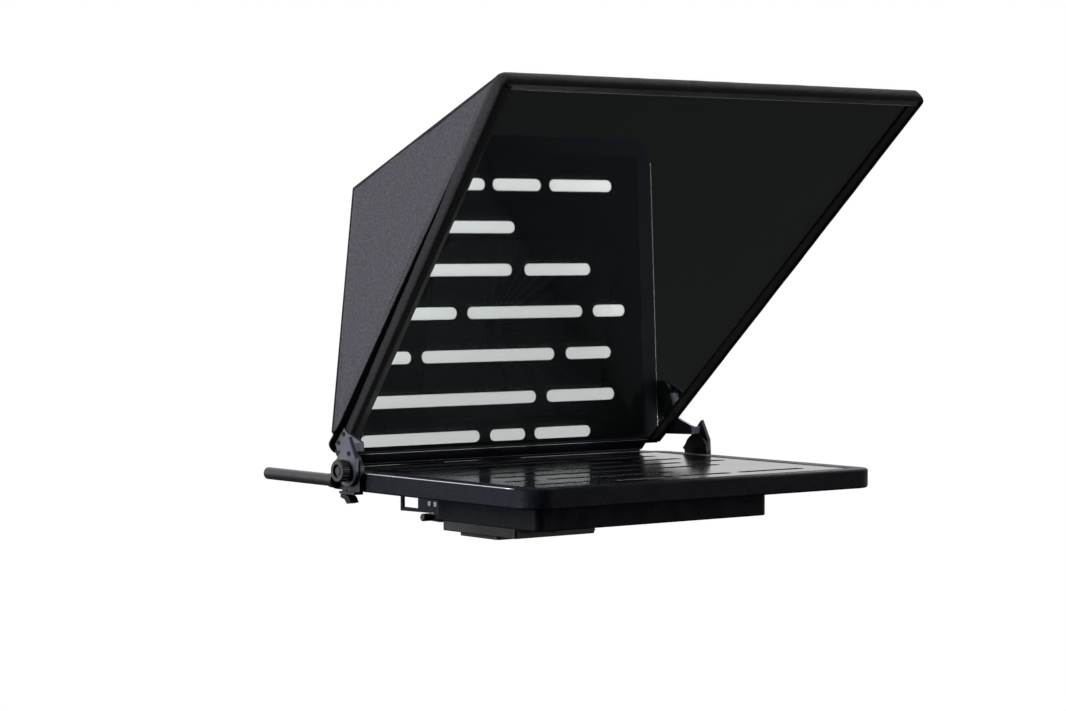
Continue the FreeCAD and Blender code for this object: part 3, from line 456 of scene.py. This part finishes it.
def tube(path, radius, closed=False, count=10):
    """A round skin along a path of points, with its sections kept from twisting."""
    rings = []
    last = len(path) - 1
    across = None
    for i, place in enumerate(path):
        before = path[(i - 1) % len(path)] if closed or i else place
        after = path[(i + 1) % len(path)] if closed or i < last else place
        along = (after - before).normalized()
        if across is None:
            across = along.orthogonal().normalized()
        across = (across - along * across.dot(along)).normalized()
        other = along.cross(across)
        rings.append([place + (across * a + other * b) * MM for a, b in circle(radius, count)])
    sheet = Sheet()
    if closed:
        rings.append(rings[0])
    sheet.add_grid(rings, closed=True)
    if not closed:
        sheet.faces.append([sheet.point(p) for p in rings[0]][::-1])
        sheet.faces.append([sheet.point(p) for p in rings[-1]])
    return sheet


def merged(sheets):
    """Several skins as one list of points and faces."""
    points, faces = [], []
    for sheet in sheets:
        start = len(points)
        points += sheet.points
        faces += [[start + n for n in face] for face in sheet.faces]
    return points, faces


def line(start, end, count):
    return [start.lerp(end, i / count) for i in range(count + 1)]


# ------------------------------------------------------------------ hard CAD nodes
HOOD_PANELS = ["hood_side_left", "hood_side_right", "hood_top", "hood_back"]
REPLACED = {*HOOD_PANELS, "lens_sleeve", "beam_splitter_glass"}
# the top bar and the right side bar get lighter copies of the frame's metal than the left side bar
# (painted light on those bars); the bottom bar gets the powder coat
BAR_FINISH_AND_LIGHT = {"frame_bottom_bar": "black_powder", "frame_side_bar_right": "lit_side_bar_metal",
              "frame_top_bar": "lit_top_bar_metal"}
NO_BEVEL = {"glass_gasket", "driver_board", "power_board", "backlight_unit"}


def finish_cad_nodes():
    """Each kept CAD node gets its material and eased edges."""
    slots = {part["node"]: part["material_slot"] for part in frame["record"]["subparts"]}
    for name, node in frame["nodes"].items():
        if name in REPLACED:
            continue
        node.data.materials.clear()
        node.data.materials.append(MATERIALS[BAR_FINISH_AND_LIGHT.get(name, slots[name])])
        if name in NO_BEVEL:
            continue
        bevel = node.modifiers.new("edge", "BEVEL")
        bevel.width = 0.35 * MM
        bevel.segments = 2
        bevel.limit_method = "ANGLE"
        bevel.angle_limit = math.radians(38)
        bevel.use_clamp_overlap = True
        bevel.harden_normals = True


# ------------------------------------------------------------------ script on the screen
def raised(outline, z0, z1):
    """An outline of (x, y) points, anticlockwise, as a flat prism."""
    sheet = Sheet()
    low = [Vector((x, y, z0)) * MM for x, y in outline]
    high = [Vector((x, y, z1)) * MM for x, y in outline]
    sheet.add_grid([low, high], closed=True)
    sheet.faces.append([sheet.point(p) for p in high])
    sheet.faces.append([sheet.point(p) for p in low][::-1])
    return sheet


def rectangle(x0, x1, y0, y1):
    return [(x0, y0), (x1, y0), (x1, y1), (x0, y1)]


def word_end(x, y, half, side):
    """The rounded end of a word bar, from its lower edge to its upper one."""
    arc = []
    for step in range(9):
        angle = math.radians(-90 + 22.5 * step)
        arc.append((x + side * half * (math.cos(angle) - 1), y + half * math.sin(angle)))
    return arc


def make_script():
    """Greeked script, plain bars in place of words, set under the screen's front layer."""
    bars, layer = [], []
    x_low, x_high = -SCREEN_HALF, SCREEN_HALF
    floor, top = SCREEN_Z + 0.01, SCREEN_Z + SCREEN_LAYER
    y_done = SCREEN_FRONT
    for y, words in SCRIPT_ROWS:
        half = min(WORD_HEIGHT / 2, abs(y - SCREEN_REAR) - 0.3)
        layer.append(raised(rectangle(x_low, x_high, y_done, y - half), floor, top))
        y_done = y + half
        before = [(x_low, y - half), (x_low, y + half)]
        for x0, x1 in words:
            start = word_end(x0, y, half, -1)
            finish = word_end(x1, y, half, 1)
            bars.append(raised(finish + start[::-1], floor, SCREEN_Z + WORD_LIFT))
            layer.append(raised(start + before[::-1], floor, top))
            before = finish
        layer.append(raised([(x_high, y - half), (x_high, y + half)] + before[::-1], floor, top))
    layer.append(raised(rectangle(x_low, x_high, y_done, SCREEN_REAR), floor, top))
    points, faces = merged(bars)
    new_piece("screen_script", points, faces, "words", "sled", smooth=False)
    points, faces = merged(layer)
    new_piece("screen_front_layer", points, faces, "screen", "sled", smooth=False)


# ------------------------------------------------------------------ glass
def make_glass():
    """The beam splitter: a coated face towards the talent and a clear one behind."""
    foot = GLASS_FOOT_V - GLASS_BITE
    top = FRAME_TOP_V - TOP_BAR_WIDTH + GLASS_BITE
    inset = SIDE_BAR_WIDTH - GLASS_BITE
    sheet = Sheet()
    rings = []
    ease = 0.5
    for w, pull in ((0.0, ease), (-ease, 0.0), (-GLASS_THICK + ease, 0.0), (-GLASS_THICK, ease)):
        low, high = foot + pull, top - pull
        rings.append([on_frame(-frame_half(low) + inset + pull, low, w),
                      on_frame(frame_half(low) - inset - pull, low, w),
                      on_frame(frame_half(high) - inset - pull, high, w),
                      on_frame(-frame_half(high) + inset + pull, high, w)])
    sheet.add_grid(rings, closed=True)
    sheet.faces.append([sheet.point(p) for p in rings[0]][::-1])
    sheet.faces.append([sheet.point(p) for p in rings[-1]])
    glass = new_piece("beam_splitter", sheet.points, sheet.faces, "glass_clear", "mirror_frame",
                      smooth=False)
    glass.data.materials.append(MATERIALS["glass_coating"])
    glass.data.polygons[len(sheet.faces) - 2].material_index = 1
    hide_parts("beam_splitter_glass")


def make_seal():
    """The felt strip glued under the frame's foot, over the monitor's rear rim."""
    sheet = Sheet()
    rings = []
    for x in (-SEAL_HALF, SEAL_HALF):
        rings.append([on_frame(x, SEAL_HIGH_V, SEAL_FRONT_W), on_frame(x, SEAL_LOW_V, SEAL_FRONT_W),
                      on_frame(x, SEAL_LOW_V, SEAL_REAR_W), on_frame(x, SEAL_HIGH_V, SEAL_REAR_W)])
    sheet.add_grid(rings, closed=True)
    sheet.faces.append([sheet.point(p) for p in rings[0]][::-1])
    sheet.faces.append([sheet.point(p) for p in rings[-1]])
    new_piece("frame_foot_seal", sheet.points, sheet.faces, "felt", "mirror_frame",
              smooth=False)


# ------------------------------------------------------------------ painted highlights on edges
def make_painted_highlights():
    """Light-coloured lines along the monitor's sides and the frame's bars: painted highlights where the
    edges catch the light.
    """
    rims = []
    for side in (-1, 1):
        x = side * (RIM_HALF - HIGHLIGHT_INSET)
        z = RIM_TOP - HIGHLIGHT_INSET
        rear = Vector((x, RIM_REAR - RIM_CORNER_R, z)) * MM
        front = Vector((x, RIM_FRONT + RIM_CORNER_R, z)) * MM
        rims.append(tube(line(rear, front, 20), HIGHLIGHT_RADIUS, count=8))
    points, faces = merged(rims)
    new_piece("rim_painted_highlights", points, faces, "highlight_paint", "sled")
    top_v = FRAME_TOP_V - TOP_BAR_WIDTH + HIGHLIGHT_INSET
    bars = []
    for v, half in ((BOTTOM_BAR_V + HIGHLIGHT_INSET, SEAL_HALF), (GLASS_FOOT_V - HIGHLIGHT_INSET, SEAL_HALF),
                    (top_v, frame_half(top_v) - SIDE_BAR_WIDTH)):
        ends = [on_frame(side * half, v, FRAME_FRONT_W - 0.35) for side in (-1, 1)]
        bars.append(tube(line(*ends, 20), HIGHLIGHT_RADIUS, count=8))
    points, faces = merged(bars)
    new_piece("frame_painted_highlights", points, faces, "highlight_paint", "mirror_frame")


# ------------------------------------------------------------------ hood
ROWS = 44                       # up each side
COLUMNS = 14                    # from front to rear
ACROSS = 44                     # from left to right
RING = 9                        # from the back panel's outline in to the lens opening
FOOT_ROWS = 8


def hood_front(s):
    """The hood's fixed front edge on the left, s from the foot to the frame's top."""
    v = HOOD_FOOT_V + (HOOD_RIM_V - HOOD_FOOT_V) * s
    x = -HOOD_BACK_HALF + (HOOD_BACK_HALF - HOOD_RIM_HALF) * s
    return on_frame(x, v, HOOD_FRONT_W)


def hood_rear(s):
    """The seam between the left side and the back panel."""
    z = HOOD_FOOT_Z + (HOOD_TOP_Z - HOOD_FOOT_Z) * s
    return on_back(-HOOD_BACK_HALF, z)


def lens_edge(target):
    """The point of the lens opening's rounded outline that faces a target point."""
    centre_z = (LENS_LOW_Z + LENS_HIGH_Z) / 2
    half_z = (LENS_HIGH_Z - LENS_LOW_Z) / 2
    dx, dz = target[0], target[1] - centre_z

    def outside(t):
        qx = max(abs(dx * t) - (LENS_HALF_X - LENS_CORNER_R), 0.0)
        qz = max(abs(dz * t) - (half_z - LENS_CORNER_R), 0.0)
        return math.hypot(qx, qz) > LENS_CORNER_R

    low, high = 0.0, 1.0
    for _ in range(24):
        middle = (low + high) / 2
        if outside(middle):
            high = middle
        else:
            low = middle
    return dx * low, centre_z + dz * low


def back_outline():
    """(x, z) points round the back panel: up the left, over the top, down the right, back."""
    rise = HOOD_TOP_Z - HOOD_FOOT_Z
    left = [(-HOOD_BACK_HALF, HOOD_FOOT_Z + rise * i / ROWS) for i in range(ROWS)]
    top = [(-HOOD_BACK_HALF + 2 * HOOD_BACK_HALF * i / ACROSS, HOOD_TOP_Z) for i in range(ACROSS)]
    right = [(-x, HOOD_TOP_Z + HOOD_FOOT_Z - z) for x, z in left]
    bottom = [(-x, HOOD_FOOT_Z) for x, z in top]
    return left + top + right + bottom


def hood_side_rows():
    """The left side from its foot to the frame's top corner."""
    rows = []
    for i in range(ROWS + 1):
        rows.append(line(hood_front(i / ROWS), hood_rear(i / ROWS), COLUMNS))
    return rows


def hood_foot_rows():
    """Below the back panel the cloth turns forward and follows the frame's back to its foot."""
    outline = back_outline()
    edge = list(reversed(outline[-ACROSS:] + outline[:1]))
    rows = [[on_back(x, z) for x, z in edge]]
    first_drop = 4.0
    for i in range(1, FOOT_ROWS + 1):
        share = i / FOOT_ROWS
        v = HOOD_FOOT_V - first_drop - (HOOD_TUCK - first_drop) * share
        narrow = 1.0 - 0.055 * max(share - 0.4, 0.0) ** 2 / 0.36
        rows.append([on_frame(x * narrow, v, HOOD_FRONT_W) for x, z in edge])
    return rows


def border(faces):
    """The points on the free edges of a sheet."""
    uses = {}
    for face in faces:
        for i, n in enumerate(face):
            edge = tuple(sorted((n, face[(i + 1) % len(face)])))
            uses[edge] = uses.get(edge, 0) + 1
    return {n for edge, count in uses.items() if count == 1 for n in edge}


def ripple_hood(sheet, fixed):
    """Push the free points in and out a little, as cloth stands between its seams."""
    middle = Vector(HOOD_MIDDLE)
    for n, place in enumerate(sheet.points):
        if n in fixed:
            continue
        ripple = noise.noise(place * 9.0) * 1.6
        ripple += noise.noise(place * 26.0 + Vector((3, 1, 7))) * 0.5
        place += (place - middle).normalized() * (ripple * MM)


def make_hood():
    """The hood's two sides, top, back and foot as one lined cloth."""
    sheet = Sheet()
    side = hood_side_rows()
    sheet.add_grid(side)
    sheet.add_grid([[flipped(p) for p in reversed(row)] for row in side])
    front = line(hood_front(1.0), flipped(hood_front(1.0)), ACROSS)
    rear = line(hood_rear(1.0), flipped(hood_rear(1.0)), ACROSS)
    columns = [line(a, b, COLUMNS) for a, b in zip(front, rear)]
    sheet.add_grid(columns)
    rings = []
    outline = back_outline()
    for ring in range(RING + 1):
        share = ring / RING
        row = []
        for x, z in outline:
            inner_x, inner_z = lens_edge((x, z))
            row.append(on_back(x + (inner_x - x) * share, z + (inner_z - z) * share))
        rings.append(row)
    sheet.add_grid(rings, closed=True)
    sheet.add_grid(hood_foot_rows())
    fixed = border(sheet.faces)
    for path in ([row[0] for row in columns], [row[-1] for row in columns],
                 [row[-1] for row in side], [flipped(row[-1]) for row in side], rear):
        fixed.update(sheet.point(p) for p in path)
    ripple_hood(sheet, fixed)
    hood = new_piece("hood", sheet.points, sheet.faces, "hood_cloth", "mirror_frame")
    if min(hood.data.polygons, key=lambda p: p.center.x).normal.x > 0:
        hood.data.flip_normals()
    hood.data.materials.append(MATERIALS["hood_lining"])
    add_subdivision(hood)
    add_solidify(hood, HOOD_THICK, 0.0).material_offset = 1
    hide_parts(*HOOD_PANELS)
    return hood


def hem_path():
    """Places along the frame's edge with their outward direction: left, top and right."""
    up_left = Vector((-FRAME_SIDE_SLOPE, 1.0)).normalized()
    out_left = Vector((-up_left.y, up_left.x))
    corner_v = FRAME_TOP_V - HEM_CORNER_R
    steps = 60
    stops = []
    for i in range(steps + 1):
        v = HEM_FOOT_V + (corner_v - HEM_FOOT_V) * i / steps
        stops.append((-frame_half(v), v, out_left.copy(), "side"))
    centre = Vector((-frame_half(corner_v), corner_v)) - out_left * HEM_CORNER_R
    start = math.atan2(out_left.y, out_left.x) % (2 * math.pi)
    for i in range(1, 8):
        angle = start + (math.pi / 2 - start) * i / 8
        out = Vector((math.cos(angle), math.sin(angle)))
        place = centre + out * HEM_CORNER_R
        stops.append((place.x, place.y, out, "corner"))
    half_top = -centre.x
    left = list(stops)
    for i in range(steps + 1):
        stops.append((-half_top + 2 * half_top * i / steps, FRAME_TOP_V, Vector((0.0, 1.0)), "top"))
    stops += [(-x, v, Vector((-out.x, out.y)), kind) for x, v, out, kind in reversed(left)]
    return stops


def hem_section(x, v, kind, place):
    """The hem's ring of (out, w) offsets: thin over the edge, lapping the frame's front."""
    rise = (v - HEM_FOOT_V) / (FRAME_TOP_V - HEM_FOOT_V)
    puff = noise.noise(place * 60.0) * 0.35
    proud = HEM_PROUD + puff
    if kind == "top":
        lap = HEM_LAP_TOP
        proud += HEM_TOP_EXTRA
    elif x < 0:
        lap = HEM_LAP_LEFT + HEM_LAP_LEFT_GAIN * rise
    else:
        lap = HEM_LAP_RIGHT
    tuck = {"top": 2.6, "corner": 1.3, "side": -0.15}[kind]
    over_edge = [(-tuck, -8.9), (proud * 0.8, -8.9), (proud + 0.2, -6.0), (proud + 0.5, -3.0),
                 (proud + 0.3, 0.5), (proud * 0.75, 2.6)]
    over_front = [(0.0, 3.5 + puff), (-lap * 0.5, 3.3 + puff), (-lap + 0.3, 2.9), (-lap, 2.3)]
    underside = [(-lap * 0.5, 1.85), (0.15, 1.85), (0.15, -5.7)]
    return over_edge + over_front + underside


def make_hem():
    """The rolled hem that binds the hood to the frame's edge."""
    path, axes, sections = [], [], []
    towards = (on_frame(0, 0, 1) - on_frame(0, 0, 0)).normalized()
    for x, v, out, kind in hem_path():
        place = on_frame(x, v, 0.0)
        out_3d = (on_frame(out.x, out.y, 0) - on_frame(0, 0, 0)).normalized()
        path.append(place)
        axes.append((out_3d, towards))
        sections.append(hem_section(x, v, kind, place))
    sheet = sweep(path, axes, sections)
    return new_piece("hood_hem", sheet.points, sheet.faces, "hem_cloth", "mirror_frame")


def seam_paths():
    """The hood's five seams between its panels."""
    left_top = line(hood_front(1.0), hood_rear(1.0), 40)
    left_back = line(hood_rear(0.0), hood_rear(1.0), 30)
    back_top = line(hood_rear(1.0), flipped(hood_rear(1.0)), 50)
    right_top = [flipped(p) for p in left_top]
    right_back = [flipped(p) for p in left_back]
    return [left_top, right_top, left_back, right_back, back_top]


def make_piping():
    """The rolled seams where the hood's panels are sewn together."""
    tubes = [tube(path, PIPING_R) for path in seam_paths()]
    points, faces = merged(tubes)
    return new_piece("hood_piping", points, faces, "hem_cloth", "mirror_frame")


def stitch(start, end, up):
    """One short raised stitch between two points."""
    along = (end - start).normalized()
    side = along.cross(up).normalized()
    rings = []
    for share, wide in ((0.0, 0.35), (0.18, 0.9), (0.5, 1.0), (0.82, 0.9), (1.0, 0.35)):
        centre = start.lerp(end, share) - up * (0.25 * MM * abs(share - 0.5))
        rings.append([centre + (side * a + up * b) * (wide * MM) for a, b in circle(STITCH_R, 6)])
    sheet = Sheet()
    sheet.add_grid(rings, closed=True)
    return sheet


def stitch_line(start, end, up):
    length = (end - start).length / MM
    count = int(length / STITCH_PITCH)
    along = (end - start).normalized()
    stitches = []
    for i in range(count):
        place = start + along * ((i + 0.5) * STITCH_PITCH * MM)
        stitches.append(stitch(place, place + along * (STITCH_LENGTH * MM), up))
    return stitches


def make_stitches():
    """Stitches along the hem's lap, and along both edges of each side panel."""
    stitches = []
    towards = (on_frame(0, 0, 1) - on_frame(0, 0, 0)).normalized()
    for side in (-1, 1):
        low, high = 80.0, FRAME_TOP_V - 12.0
        lap_low, lap_high = (3.4, 8.4) if side < 0 else (1.0, 1.0)
        start = on_frame(side * (frame_half(low) - lap_low), low, 3.45)
        end = on_frame(side * (frame_half(high) - lap_high), high, 3.45)
        stitches += stitch_line(start, end, towards)
        out = Vector((side, 0, 0))
        front_low, front_high = hood_front(0.06), hood_front(0.98)
        rear_low, rear_high = hood_rear(0.06), hood_rear(0.98)
        for share in (0.0, 1.0):
            inset = (1 if share == 0.0 else -1) * STITCH_INSET * MM
            foot = front_low.lerp(rear_low, share)
            head = front_high.lerp(rear_high, share)
            foot.y += inset
            head.y += inset
            if side > 0:
                foot, head = flipped(foot), flipped(head)
            lift = out * (STITCH_LIFT * MM)
            stitches += stitch_line(foot + lift, head + lift, out)
    points, faces = merged(stitches)
    return new_piece("hood_stitching", points, faces, "thread", "mirror_frame")


# ------------------------------------------------------------------ lens sleeve
def sleeve_ring(t, pleat, radius_share, behind):
    """A ring of the sleeve: t blends the opening's outline into the round neck."""
    ring = []
    count = SLEEVE_PLEATS * 8
    for i in range(count):
        angle = 2 * math.pi * i / count
        far = (math.cos(angle) * 300.0, LENS_Z + math.sin(angle) * 300.0)
        x, z = lens_edge(far)
        wave = 1.0 + pleat * math.cos(SLEEVE_PLEATS * angle)
        wave += pleat * 0.35 * math.sin(7 * angle + 1.3)
        round_x = math.cos(angle) * SLEEVE_NECK_R * radius_share
        round_z = LENS_Z + math.sin(angle) * SLEEVE_NECK_R * radius_share
        px = (x + (round_x - x) * t) * wave
        pz = LENS_Z + (z + (round_z - z) * t - LENS_Z) * wave
        lean = back_y(z) * (1 - t) + back_y(LENS_Z) * t
        ring.append(Vector((px, lean + behind, pz)) * MM)
    return ring


def make_sleeve():
    """Stretch cloth sewn round the lens opening and gathered by its drawstring."""
    rings = []
    for share, behind in ((1.05, 1.2), (1.0, 1.7)):
        ring = []
        for p in sleeve_ring(0.0, 0.0, 1.0, behind):
            ring.append(Vector((p.x * share, p.y, LENS_Z * MM + (p.z - LENS_Z * MM) * share)))
        rings.append(ring)
    for step in range(1, 15):
        t = step / 14
        inward = t ** 0.85
        behind = 2.0 + SLEEVE_LENGTH * t ** 1.25
        rings.append(sleeve_ring(inward, 0.03 + 0.09 * t * t, 1.0, behind))
    for step in range(1, 6):
        t = step / 5
        behind = 2.0 + SLEEVE_LENGTH + SLEEVE_NECK * t
        flare = 1.0 - 0.62 * math.sin(math.pi * min(t * 1.1, 1.0)) ** 0.7
        rings.append(sleeve_ring(1.0, 0.12, flare, behind))
    sheet = Sheet()
    sheet.add_grid(rings, closed=True)
    sleeve = new_piece("lens_sleeve_cloth", sheet.points, sheet.faces, "sleeve_cloth", "mirror_frame")
    add_solidify(sleeve, SLEEVE_THICK, 0.0)
    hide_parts("lens_sleeve")
    return sleeve


def make_drawstring():
    """The cord round the gathered neck, the cloth bunched inside it, and the cord's lock."""
    y = back_y(LENS_Z) + 2.0 + SLEEVE_LENGTH + DRAW_SHARE * SLEEVE_NECK
    count = 48
    path = []
    for i in range(count):
        angle = 2 * math.pi * i / count
        wobble = DRAW_R + 0.25 * math.sin(5 * angle)
        path.append(Vector((wobble * math.cos(angle), y + 0.3 * math.sin(3 * angle),
                            LENS_Z + wobble * math.sin(angle))) * MM)
    ring = tube(path, CORD_R, closed=True)
    cord = new_piece("sleeve_drawstring", ring.points, ring.faces, "thread", "mirror_frame")
    middle = [Vector((0.0, y + out, LENS_Z)) * MM for out in (-2.5, -1.0, 1.0, 2.5)]
    gather = tube(middle, SLEEVE_NECK_R * 0.36)
    bunch = new_piece("sleeve_neck_gather", gather.points, gather.faces, "sleeve_cloth",
                      "mirror_frame")
    lock_rings = []
    for out, wide in ((-3.6, 2.2), (-3.2, 3.0), (-0.6, 3.2), (-0.2, 2.6), (0.2, 2.6), (0.6, 3.2),
                      (3.2, 3.0), (3.6, 2.2)):
        centre = Vector((out, y, LENS_Z - DRAW_R - LOCK_DROP)) * MM
        lock_rings.append([centre + Vector((0, a, b)) * MM for a, b in circle(wide, 16)])
    lock = Sheet()
    lock.add_grid(lock_rings, closed=True)
    lock.faces.append([lock.point(p) for p in lock_rings[0]][::-1])
    lock.faces.append([lock.point(p) for p in lock_rings[-1]])
    toggle = new_piece("sleeve_cord_lock", lock.points, lock.faces, "knob_plastic", "mirror_frame")
    return cord, bunch, toggle


# ------------------------------------------------------------------ room
def make_floor():
    ring = [(x, y, FLOOR_Z) for x, y in circle(FLOOR_RADIUS, 64)]
    mesh = bpy.data.meshes.new("floor")
    mesh.from_pydata(ring, [], [list(range(len(ring)))])
    floor = bpy.data.objects.new("floor", mesh)
    bpy.context.scene.collection.objects.link(floor)
    material = new_material("floor_paint", (0.86, 0.86, 0.86), 0.8)
    vary_colour(material, noise_texture(material, 3.0), (0.84, 0.84, 0.84), (0.88, 0.88, 0.88))
    mesh.materials.append(material)
    floor.visible_glossy = False
    floor.visible_diffuse = False


def make_world():
    """White studio: bright all round the horizon behind the object, dim on the camera's side."""
    world = bpy.data.worlds.new("studio")
    bpy.context.scene.world = world
    world.use_nodes = True
    tree = world.node_tree
    tree.nodes.clear()
    out = tree.nodes.new("ShaderNodeOutputWorld")
    place = tree.nodes.new("ShaderNodeTexCoord")
    dot = tree.nodes.new("ShaderNodeVectorMath")
    dot.operation = "DOT_PRODUCT"
    dot.inputs[1].default_value = (math.sin(CAMERA_AZIMUTH), math.cos(CAMERA_AZIMUTH), 0.25)
    tree.links.new(place.outputs["Generated"], dot.inputs[0])
    ramp = tree.nodes.new("ShaderNodeValToRGB")
    ramp.color_ramp.elements[0].position = 0.38
    ramp.color_ramp.elements[0].color = (0.022, 0.022, 0.024, 1.0)
    ramp.color_ramp.elements[1].position = 0.86
    ramp.color_ramp.elements[1].color = (1.0, 1.0, 1.0, 1.0)
    scale = tree.nodes.new("ShaderNodeMapRange")
    scale.inputs["From Min"].default_value = -1.0
    scale.inputs["From Max"].default_value = 1.0
    tree.links.new(dot.outputs["Value"], scale.inputs["Value"])
    tree.links.new(scale.outputs["Result"], ramp.inputs["Fac"])
    parts = tree.nodes.new("ShaderNodeSeparateXYZ")
    tree.links.new(place.outputs["Generated"], parts.inputs["Vector"])
    height = tree.nodes.new("ShaderNodeMapRange")
    height.inputs["From Min"].default_value = -0.30
    height.inputs["From Max"].default_value = -0.04
    height.inputs["To Min"].default_value = 0.05
    tree.links.new(parts.outputs["Z"], height.inputs["Value"])
    lighting = tree.nodes.new("ShaderNodeBackground")
    tree.links.new(ramp.outputs["Color"], lighting.inputs["Color"])
    tree.links.new(height.outputs["Result"], lighting.inputs["Strength"])
    backdrop = tree.nodes.new("ShaderNodeBackground")
    backdrop.inputs["Color"].default_value = (1.0, 1.0, 1.0, 1.0)
    backdrop.inputs["Strength"].default_value = 1.0
    path = tree.nodes.new("ShaderNodeLightPath")
    mix = tree.nodes.new("ShaderNodeMixShader")
    tree.links.new(path.outputs["Is Camera Ray"], mix.inputs["Fac"])
    tree.links.new(lighting.outputs["Background"], mix.inputs[1])
    tree.links.new(backdrop.outputs["Background"], mix.inputs[2])
    tree.links.new(mix.outputs["Shader"], out.inputs["Surface"])


def area_light(name, place, target, size, power, colour):
    light = bpy.data.lights.new(name, "AREA")
    light.color = colour
    light.shape = "RECTANGLE"
    light.size, light.size_y = size
    light.energy = power
    lamp = bpy.data.objects.new(name, light)
    bpy.context.scene.collection.objects.link(lamp)
    lamp.location = place
    lamp.rotation_mode = "QUATERNION"
    lamp.rotation_quaternion = (Vector(target) - Vector(place)).to_track_quat("-Z", "Y")


def make_lights():
    cool = (0.94, 0.96, 1.0)
    area_light("key", (-3.1, 1.0, 1.1), LIGHT_TARGET, (1.8, 1.8), 225.0, cool)
    area_light("top", (1.3, 1.1, 2.2), LIGHT_TARGET, (2.0, 1.2), 90.0, (1.0, 1.0, 1.0))
    area_light("fill", (1.6, -3.0, 0.7), FILL_TARGET, (1.4, 1.4), 30.0, cool)


def make_camera():
    data = bpy.data.cameras.new("camera")
    data.lens = CAMERA_LENS
    data.sensor_width = 36.0
    data.clip_start = 0.05
    data.clip_end = 60.0
    camera = bpy.data.objects.new("camera", data)
    bpy.context.scene.collection.objects.link(camera)
    camera.location = CAMERA_PLACE
    forward = Vector((math.sin(CAMERA_AZIMUTH) * math.cos(CAMERA_PITCH),
                      math.cos(CAMERA_AZIMUTH) * math.cos(CAMERA_PITCH), -math.sin(CAMERA_PITCH)))
    camera.rotation_mode = "QUATERNION"
    camera.rotation_quaternion = forward.to_track_quat("-Z", "Y")
    bpy.context.scene.camera = camera
    bpy.context.scene.view_settings.view_transform = "Standard"


# ------------------------------------------------------------------ the scene
finish_cad_nodes()
make_script()
make_glass()
make_seal()
make_painted_highlights()
hood = make_hood()
hem = make_hem()
piping = make_piping()
stitching = make_stitches()
sleeve = make_sleeve()
cord, bunch, toggle = make_drawstring()
make_floor()
make_world()
make_lights()
make_camera()
